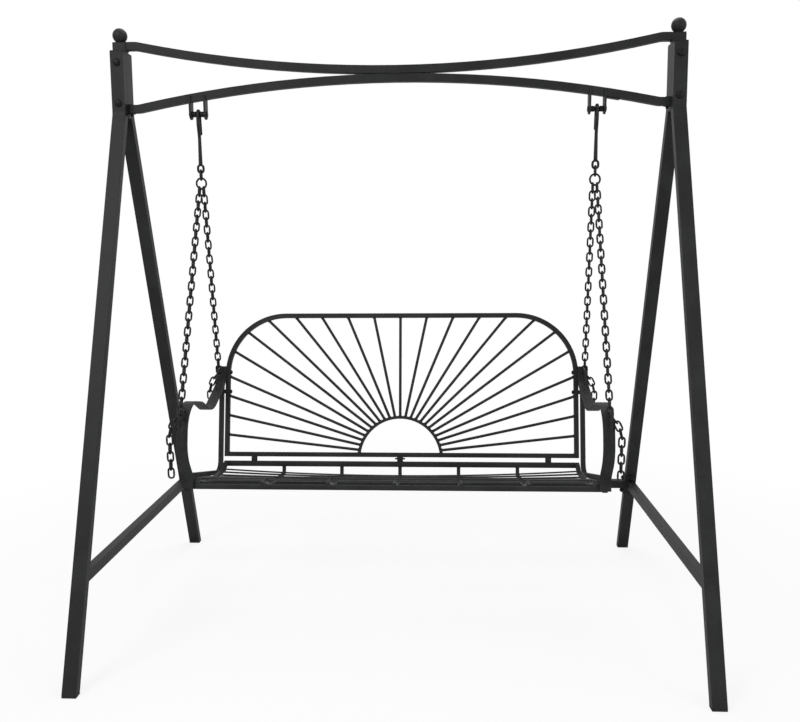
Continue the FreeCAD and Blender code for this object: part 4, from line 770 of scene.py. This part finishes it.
def beadRing(spot, axis, radius, bead, seed):
    # a rippled ring of weld round a bar
    random.seed(seed)
    side = axis.orthogonal().normalized()
    other = axis.cross(side)
    route = []
    radii = []
    for k in range(20):
        turn = 2 * math.pi * k / 20
        route.append(spot + (side * math.cos(turn) + other * math.sin(turn)) * radius)
        radii.append(bead * (0.86 + 0.24 * (k % 2) + random.uniform(-0.06, 0.06)))
    return sweepRound(route, radii, 8, loop=True)


def beadLine(start, end, bead, seed):
    # a straight rippled bead of weld
    random.seed(seed)
    steps = max(4, int((end - start).length / bead / 0.8))
    route = [start.lerp(end, k / steps) for k in range(steps + 1)]
    radii = [bead * (0.84 + 0.26 * (k % 2) + random.uniform(-0.06, 0.06)) for k in range(steps + 1)]
    radii[0] = radii[-1] = bead * 0.45
    return sweepRound(route, radii, 8)


sunCentre = onBench(0, 0, 0.017)
rods = []
rodWelds = []
for index, (middle, axes, size, cloud) in enumerate(solidsOf("sun_rays")):
    axis = axes[0]
    if (middle - sunCentre).dot(axis) < 0:
        axis = -axis
    along = cloud @ np.array(axis) - middle.dot(axis)
    line = cloud - np.outer(cloud @ np.array(axis), np.array(axis))
    core = Vector(line.mean(axis=0)) + axis * middle.dot(axis)
    near = along[along < 0].mean()
    far = along[along > 0].mean()
    inner = core + axis * (near - rays["intoRing"])
    outer = core + axis * (far + rays["intoBow"])
    rods.append(sweepRound([inner, core, outer], [rays["bar"]] * 3, 16))
    rodWelds.append(beadRing(core + axis * near, axis, rays["bar"], rays["collar"], index))
    rodWelds.append(beadRing(core + axis * (far - 0.0004), axis, rays["bar"], rays["collar"], index + 50))
makePiece("sun_rays_smooth", rods, "bench", "bench", ["sun_rays"])
makePiece("sun_ray_welds", rodWelds, "weld", "bench")
print("rays made:", len(rods))

# ball finials: a sphere on a short neck, turned from firstTurn degrees over sweep degrees
ball = {
    "radius": 0.022,
    "bands": 22,
    "firstTurn": -62,
    "sweep": 152,
    "neck": 0.0105,
    "neckLow": -0.0202,
    "stem": [(0.004, -0.034), (0.004, -0.0205)],
}


def makeFinial(side):
    name = f"{side}_finial"
    low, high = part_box(name)
    spot = Vector(((low.x + high.x) / 2, (low.y + high.y) / 2, high.z - ball["radius"]))
    profile = ball["stem"] + [(ball["neck"], ball["neckLow"])]
    for band in range(ball["bands"] + 1):
        turn = math.radians(ball["firstTurn"] + ball["sweep"] * band / ball["bands"])
        profile.append((max(ball["radius"] * math.cos(turn), 0.00005), ball["radius"] * math.sin(turn)))
    makePiece(f"{side}_finial_smooth", [lathe(profile, spot, Vector((0, 0, 1)), 48)],
              "stand", "stand", [name])


makeFinial("left")
makeFinial("right")


# the domes of bolt heads: rim height, width within the rim and width of the top, as shares of the head
dome = {"rim": 0.16, "within": 0.985, "top": 0.06, "steps": 8}


def domeProfile(head, height, shank, length):
    # a button head with a small rim, on a plain shank that points down
    rim = height * dome["rim"]
    within = head * dome["within"]
    profile = [(shank, -length), (shank, 0), (within, 0), (head, rim * 0.5), (within, rim)]
    for step in range(1, dome["steps"]):
        turn = math.pi / 2 * step / dome["steps"]
        profile.append((within * math.cos(turn), rim + (height - rim) * math.sin(turn)))
    return profile + [(head * dome["top"], height)]


# button-head bolts: head radius, head height, shank radius,
# and how far in from the end of the CAD solid the head sits
bolts = {
    "post_bolts": (0.0115, 0.0065, 0.005, 0.006),
    "brace_bolts": (0.0084, 0.006, 0.004, 0.0045),
    "stretcher_bolts": (0.0086, 0.0105, 0.004, 0.0045),
    "side_bolts": (0.007, 0.0045, 0.004, 0.0045),
    "back_bolts": (0.0061, 0.0045, 0.004, 0.0045),
}


def makeBolts(name, head, height, shank, depth):
    forms = []
    for middle, axes, size, cloud in solidsOf(name):
        axis = axes[0]
        offset = cloud - np.array(middle)
        along = offset @ np.array(axis)
        wide = np.linalg.norm(offset - np.outer(along, np.array(axis)), axis=1)
        if along[wide > shank * 1.2].mean() < 0:
            axis = -axis
        under = middle + axis * (size[0] / 2 - depth)
        forms.append(lathe(domeProfile(head, height, shank, size[0] - depth), under, axis))
    makePiece(f"{name}_smooth", forms, "bolt", nodes[name]["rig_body"], [name])


for name, sizes in bolts.items():
    makeBolts(name, *sizes)

# hanger pins: heads, shaft, and a sleeve each side of the hook
pin = {
    "head": 0.0088,
    "thick": 0.003,
    "shaft": 0.005,
    "sleeve": 0.0085,
    "near": 0.0066,
    "far": 0.0192,
}


def pinProfile(half):
    # one end from its tip inwards, then the same turned round
    head, shaft, sleeve = pin["head"], pin["shaft"], pin["sleeve"]
    under = half - pin["thick"]
    end = [
        (head * 0.7, half), (head, half - 0.001), (head, under), (shaft, under), (shaft, pin["far"]),
        (sleeve, pin["far"] - 0.0004), (sleeve, pin["near"] + 0.0012), (shaft, pin["near"]),
    ]
    return [(radius, -height) for radius, height in end] + end[::-1]


# the flange round the middle back spacer: heights and radii, with None for the spacer's own radius
flange = [(-0.0005, None), (0.0, 0.0168), (0.0012, 0.0176), (0.0042, 0.0172), (0.0054, None)]

# turned bits: which of a solid's axes they turn about, their radius (None for the pins), paint and slot
turnedBits = {
    "post_washers": (2, 0.011, "bolt", "hardware"),
    "hanger_pins": (0, None, "bolt", "hardware"),
    "side_spacers": (0, 0.007, "bench", "black_coat"),
    "back_spacers": (0, 0.010, "bench", "black_coat"),
    "collar_screws": (0, 0.004, "bolt", "hardware"),
}


def makeTurned(name, which, radius, paint, slot):
    forms = []
    for middle, axes, size, cloud in solidsOf(name):
        if name in ("side_spacers", "back_spacers"):
            upright = onBench(0, 0, 1) - onBench(0, 0, 0)
            axis = acrossSeat if name == "side_spacers" else upright
            reach = cloud @ np.array(axis)
            half = (reach.max() - reach.min()) / 2
        else:
            axis = axes[which]
            half = size[which] / 2
        if radius is None:
            profile = pinProfile(half)
        else:
            lip = min(0.0006, half / 3)
            low = [(radius - lip, -half), (radius, -half + lip)]
            high = [(radius, half - lip), (radius - lip, half)]
            hasFlange = name == "back_spacers" and abs(middle.x) < 0.1
            rim = [(wide or radius, height) for height, wide in flange] if hasFlange else []
            profile = low + rim + high
        forms.append(lathe(profile, middle, axis))
    makePiece(f"{name}_smooth", forms, paint, nodes[name]["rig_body"], [name])


for name, values in turnedBits.items():
    makeTurned(name, *values)
print("fasteners made")

# weld beads where bars meet: bead radii, then places on the bench and on the stand
beads = {
    "bow": 0.0016,
    "rail": 0.0018,
    "ring": 0.0015,
    "front": 0.0016,
    "arm": 0.0016,
    "rib": 0.0014,
    "slat": 0.0011,
    "kiss": 0.0022,
    "stub": 0.0018,
    "brace": 0.0018,
    "bowSpan": (0.0225, 0.0375),
    "railTop": 0.0376,
    "ringPlaces": (0.1337, 0.1437),
    "ringSpan": (-0.005, 0.005),
    "ringTop": 0.0377,
    "frontPlaces": (-0.3645, -0.3495),
    "frontSpan": (-0.0555, -0.0425),
    "armPlace": -0.0078,
    "armSpan": (0.308, 0.327),
    "ribSpan": (-0.3625, -0.3515),
    "slatShares": (-0.35, 0.35),
    "slatLift": 0.0006,
    "kissSpan": (-0.016, 0.018),
    "kissHalf": 0.0121,
    "stubHalf": 0.012,
    "stubRise": 0.011,
    "braceEnd": 0.4598,
    "braceHalf": 0.0125,
    "braceSlope": 0.0046,
    "braceSpan": (0.2705, 0.2995),
}


def benchWelds():
    forms = []
    half = bench["rail"] / 2
    seed = 100
    for sign in (-1, 1):
        # bottom rail into the bow, front and back
        x = (bench["half"] - bench["rail"]) * sign
        for y in (-half, half):
            start, end = (onBench(x, y, z) for z in beads["bowSpan"])
            forms.append(beadLine(start, end, beads["bow"], seed))
            seed += 1
        start, end = (onBench(x, y, beads["railTop"]) for y in (-half, half))
        forms.append(beadLine(start, end, beads["rail"], seed))
        # half ring onto the bottom rail
        for reach in beads["ringPlaces"]:
            start, end = (onBench(reach * sign, y, beads["ringTop"]) for y in beads["ringSpan"])
            forms.append(beadLine(start, end, beads["ring"], seed + 7))
            seed += 1
        # front tube into the side frame
        for y in beads["frontPlaces"]:
            start, end = (onBench(seat["frontHalf"] * sign, y, z) for z in beads["frontSpan"])
            forms.append(beadLine(start, end, beads["front"], seed + 20))
            seed += 1
        # arm bar onto the upright
        for edge in (-half, half):
            x = bench["side"] * sign + edge
            start, end = (onBench(x, beads["armPlace"], z) for z in beads["armSpan"])
            forms.append(beadLine(start, end, beads["arm"], seed + 40))
            seed += 1
    # ribs onto the front tube
    top = seat["frontHeight"] + seat["frontBar"] / 2
    for x, wide, *_ in ribRoutes():
        for edge in (-wide / 2, wide / 2):
            start, end = (onBench(x + edge, y, top) for y in beads["ribSpan"])
            forms.append(beadLine(start, end, beads["rib"], seed + 60))
            seed += 1
    return forms


def slatWelds():
    # short beads in front of the slats where they cross the ribs
    forms = []
    for index in range(seat["slatCount"]):
        y = slatPlace(index) - seat["slatWide"] / 2
        for x, wide, *_ in ribRoutes():
            if abs(x) < 0.5:
                z = seatLevel(x, y) + beads["slatLift"]
                start, end = (onBench(x + wide * share, y, z) for share in beads["slatShares"])
                forms.append(beadLine(start, end, beads["slat"], 400 + index))
    return forms


def standWelds():
    forms = []
    # where the two beams kiss, and round the beam stubs
    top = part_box("lower_beam")[1].z
    for y in (-beads["kissHalf"], beads["kissHalf"]):
        start, end = (Vector((x, y, top)) for x in beads["kissSpan"])
        forms.append(beadLine(start, end, beads["kiss"], int(abs(y) * 1e5) + 300))
    half = beads["stubHalf"]
    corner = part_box("upper_beam")[1]
    for sign in (-1, 1):
        x = corner.x * sign
        z = corner.z - half
        for y in (-half, half):
            foot = Vector((x, y, z - half))
            head = Vector((x, y, z + beads["stubRise"]))
            forms.append(beadLine(foot, head, beads["stub"], 320 + sign))
        start, end = (Vector((x, y, z - half)) for y in (-half, half))
        forms.append(beadLine(start, end, beads["stub"], 330 + sign))
    # tube ends of the braces onto their plates
    for side, sign in (("left", -1), ("right", 1)):
        low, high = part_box(f"{side}_side_brace")
        x = (low.x + high.x) / 2
        for end in (-1, 1):
            y = beads["braceEnd"] * end
            slope = beads["braceSlope"] * end
            for edge in (-beads["braceHalf"], beads["braceHalf"]):
                foot = Vector((x + edge, y + slope, beads["braceSpan"][0]))
                head = Vector((x + edge, y - slope, beads["braceSpan"][1]))
                forms.append(beadLine(foot, head, beads["brace"], 340 + sign))
    return forms


makePiece("bench_welds", benchWelds(), "weld", "bench")
makePiece("slat_welds", slatWelds(), "spatter", "bench")
makePiece("stand_welds", standWelds(), "weld", "stand")
print("welds made")

# every other CAD node keeps its shape: rounded corners and its own finish
finishes = {
    "foot": ["foot_plugs"],
    "bolt": ["post_nuts", "side_nuts"],
}
rounding = {"stand": 0.0016, "bench": 0.0012, "bolt": 0.0006, "foot": 0.0012}
shown = [name for name, item in nodes.items() if not item.hide_render]
for name in shown:
    item = nodes[name]
    paint = next((key for key, names in finishes.items() if name in names), None)
    if paint is None:
        paint = "stand" if item["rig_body"] == "stand" else "bench"
    mesh = item.data
    if "custom_normal" in mesh.attributes:
        mesh.attributes.remove(mesh.attributes["custom_normal"])
    mesh.polygons.foreach_set("use_smooth", [True] * len(mesh.polygons))
    mesh.materials.clear()
    mesh.materials.append(paints[paint])
    weld = item.modifiers.new("joinFaces", "WELD")
    weld.merge_threshold = 0.00001
    bevel = item.modifiers.new("roundCorners", "BEVEL")
    bevel.width = rounding[paint]
    bevel.segments = 2
    bevel.limit_method = "ANGLE"
    bevel.angle_limit = math.radians(32)
    bevel.harden_normals = True
    bevel.use_clamp_overlap = True
print("frame dressed:", len(shown), "nodes")

# pale floor, soft lamps and a white surround
stage = {"floor": 0.9, "glow": 0.82, "surround": 0.5, "fadeStart": 1.0, "fadeEnd": 2.6}
lamps = [
    ("key", (-2.4, -3.6, 3.6), 2.2, 95),
    ("fill", (3.4, -2.8, 2.0), 2.6, 38),
    ("top", (0.2, 0.8, 4.2), 2.4, 52),
]


def makeFloor():
    reach = 30
    corners = [(-reach, -reach, 0), (reach, -reach, 0), (reach, reach, 0), (-reach, reach, 0)]
    mesh = bpy.data.meshes.new("floor")
    mesh.from_pydata(corners, [], [(0, 1, 2, 3)])
    floor = bpy.data.objects.new("floor", mesh)
    floor.location.z = -0.0006
    bpy.context.scene.collection.objects.link(floor)
    paint = Paint("floorPale")
    speck = paint.noise(0.4, 3)
    colour = paint.mix(speck, grey(stage["floor"]), grey(stage["floor"] + 0.03))
    matt = paint.node("ShaderNodeBsdfDiffuse", None, {"Color": colour})
    white = paint.node("ShaderNodeEmission", None, {"Color": (1, 1, 1, 1), "Strength": 1.0})
    seen = paint.node("ShaderNodeLightPath", out="Is Camera Ray")
    spot = paint.node("ShaderNodeTexCoord", out="Object")
    away = paint.node("ShaderNodeVectorMath", {"operation": "LENGTH"}, {0: spot}, out="Value")
    far = paint.step(away, stage["fadeStart"], stage["fadeEnd"])
    share = stage["glow"] + far * (1 - stage["glow"])
    both = paint.node("ShaderNodeMixShader", None, {0: seen * share, 1: matt, 2: white})
    paint.node("ShaderNodeOutputMaterial", None, {"Surface": both})
    mesh.materials.append(paint.material)


def makeSurround():
    world = bpy.data.worlds.new("surround")
    bpy.context.scene.world = world
    world.use_nodes = True
    paint = Paint("surround", world.node_tree)
    seen = paint.node("ShaderNodeLightPath", out="Is Camera Ray")
    shine = paint.node("ShaderNodeLightPath", out="Is Glossy Ray")
    clear = paint.node("ShaderNodeLightPath", out="Is Transmission Ray")
    light = paint.node("ShaderNodeBackground", None, {"Color": (1, 1, 1, 1), "Strength": stage["surround"]})
    white = paint.node("ShaderNodeBackground", None, {"Color": (1, 1, 1, 1), "Strength": 1.0})
    both = paint.node("ShaderNodeMixShader", None, {0: seen + shine + clear, 1: light, 2: white})
    paint.node("ShaderNodeOutputWorld", None, {"Surface": both})


def makeLamp(name, spot, size, power):
    lamp = bpy.data.lights.new(name, "AREA")
    lamp.shape = "DISK"
    lamp.size = size
    lamp.energy = power
    made = bpy.data.objects.new(name, lamp)
    bpy.context.scene.collection.objects.link(made)
    aim = Vector((0, 0, 0.9)) - Vector(spot)
    made.matrix_world = Matrix.Translation(spot) @ aim.to_track_quat("-Z", "Y").to_matrix().to_4x4()


makeFloor()
makeSurround()
for values in lamps:
    makeLamp(*values)
print("stage set")
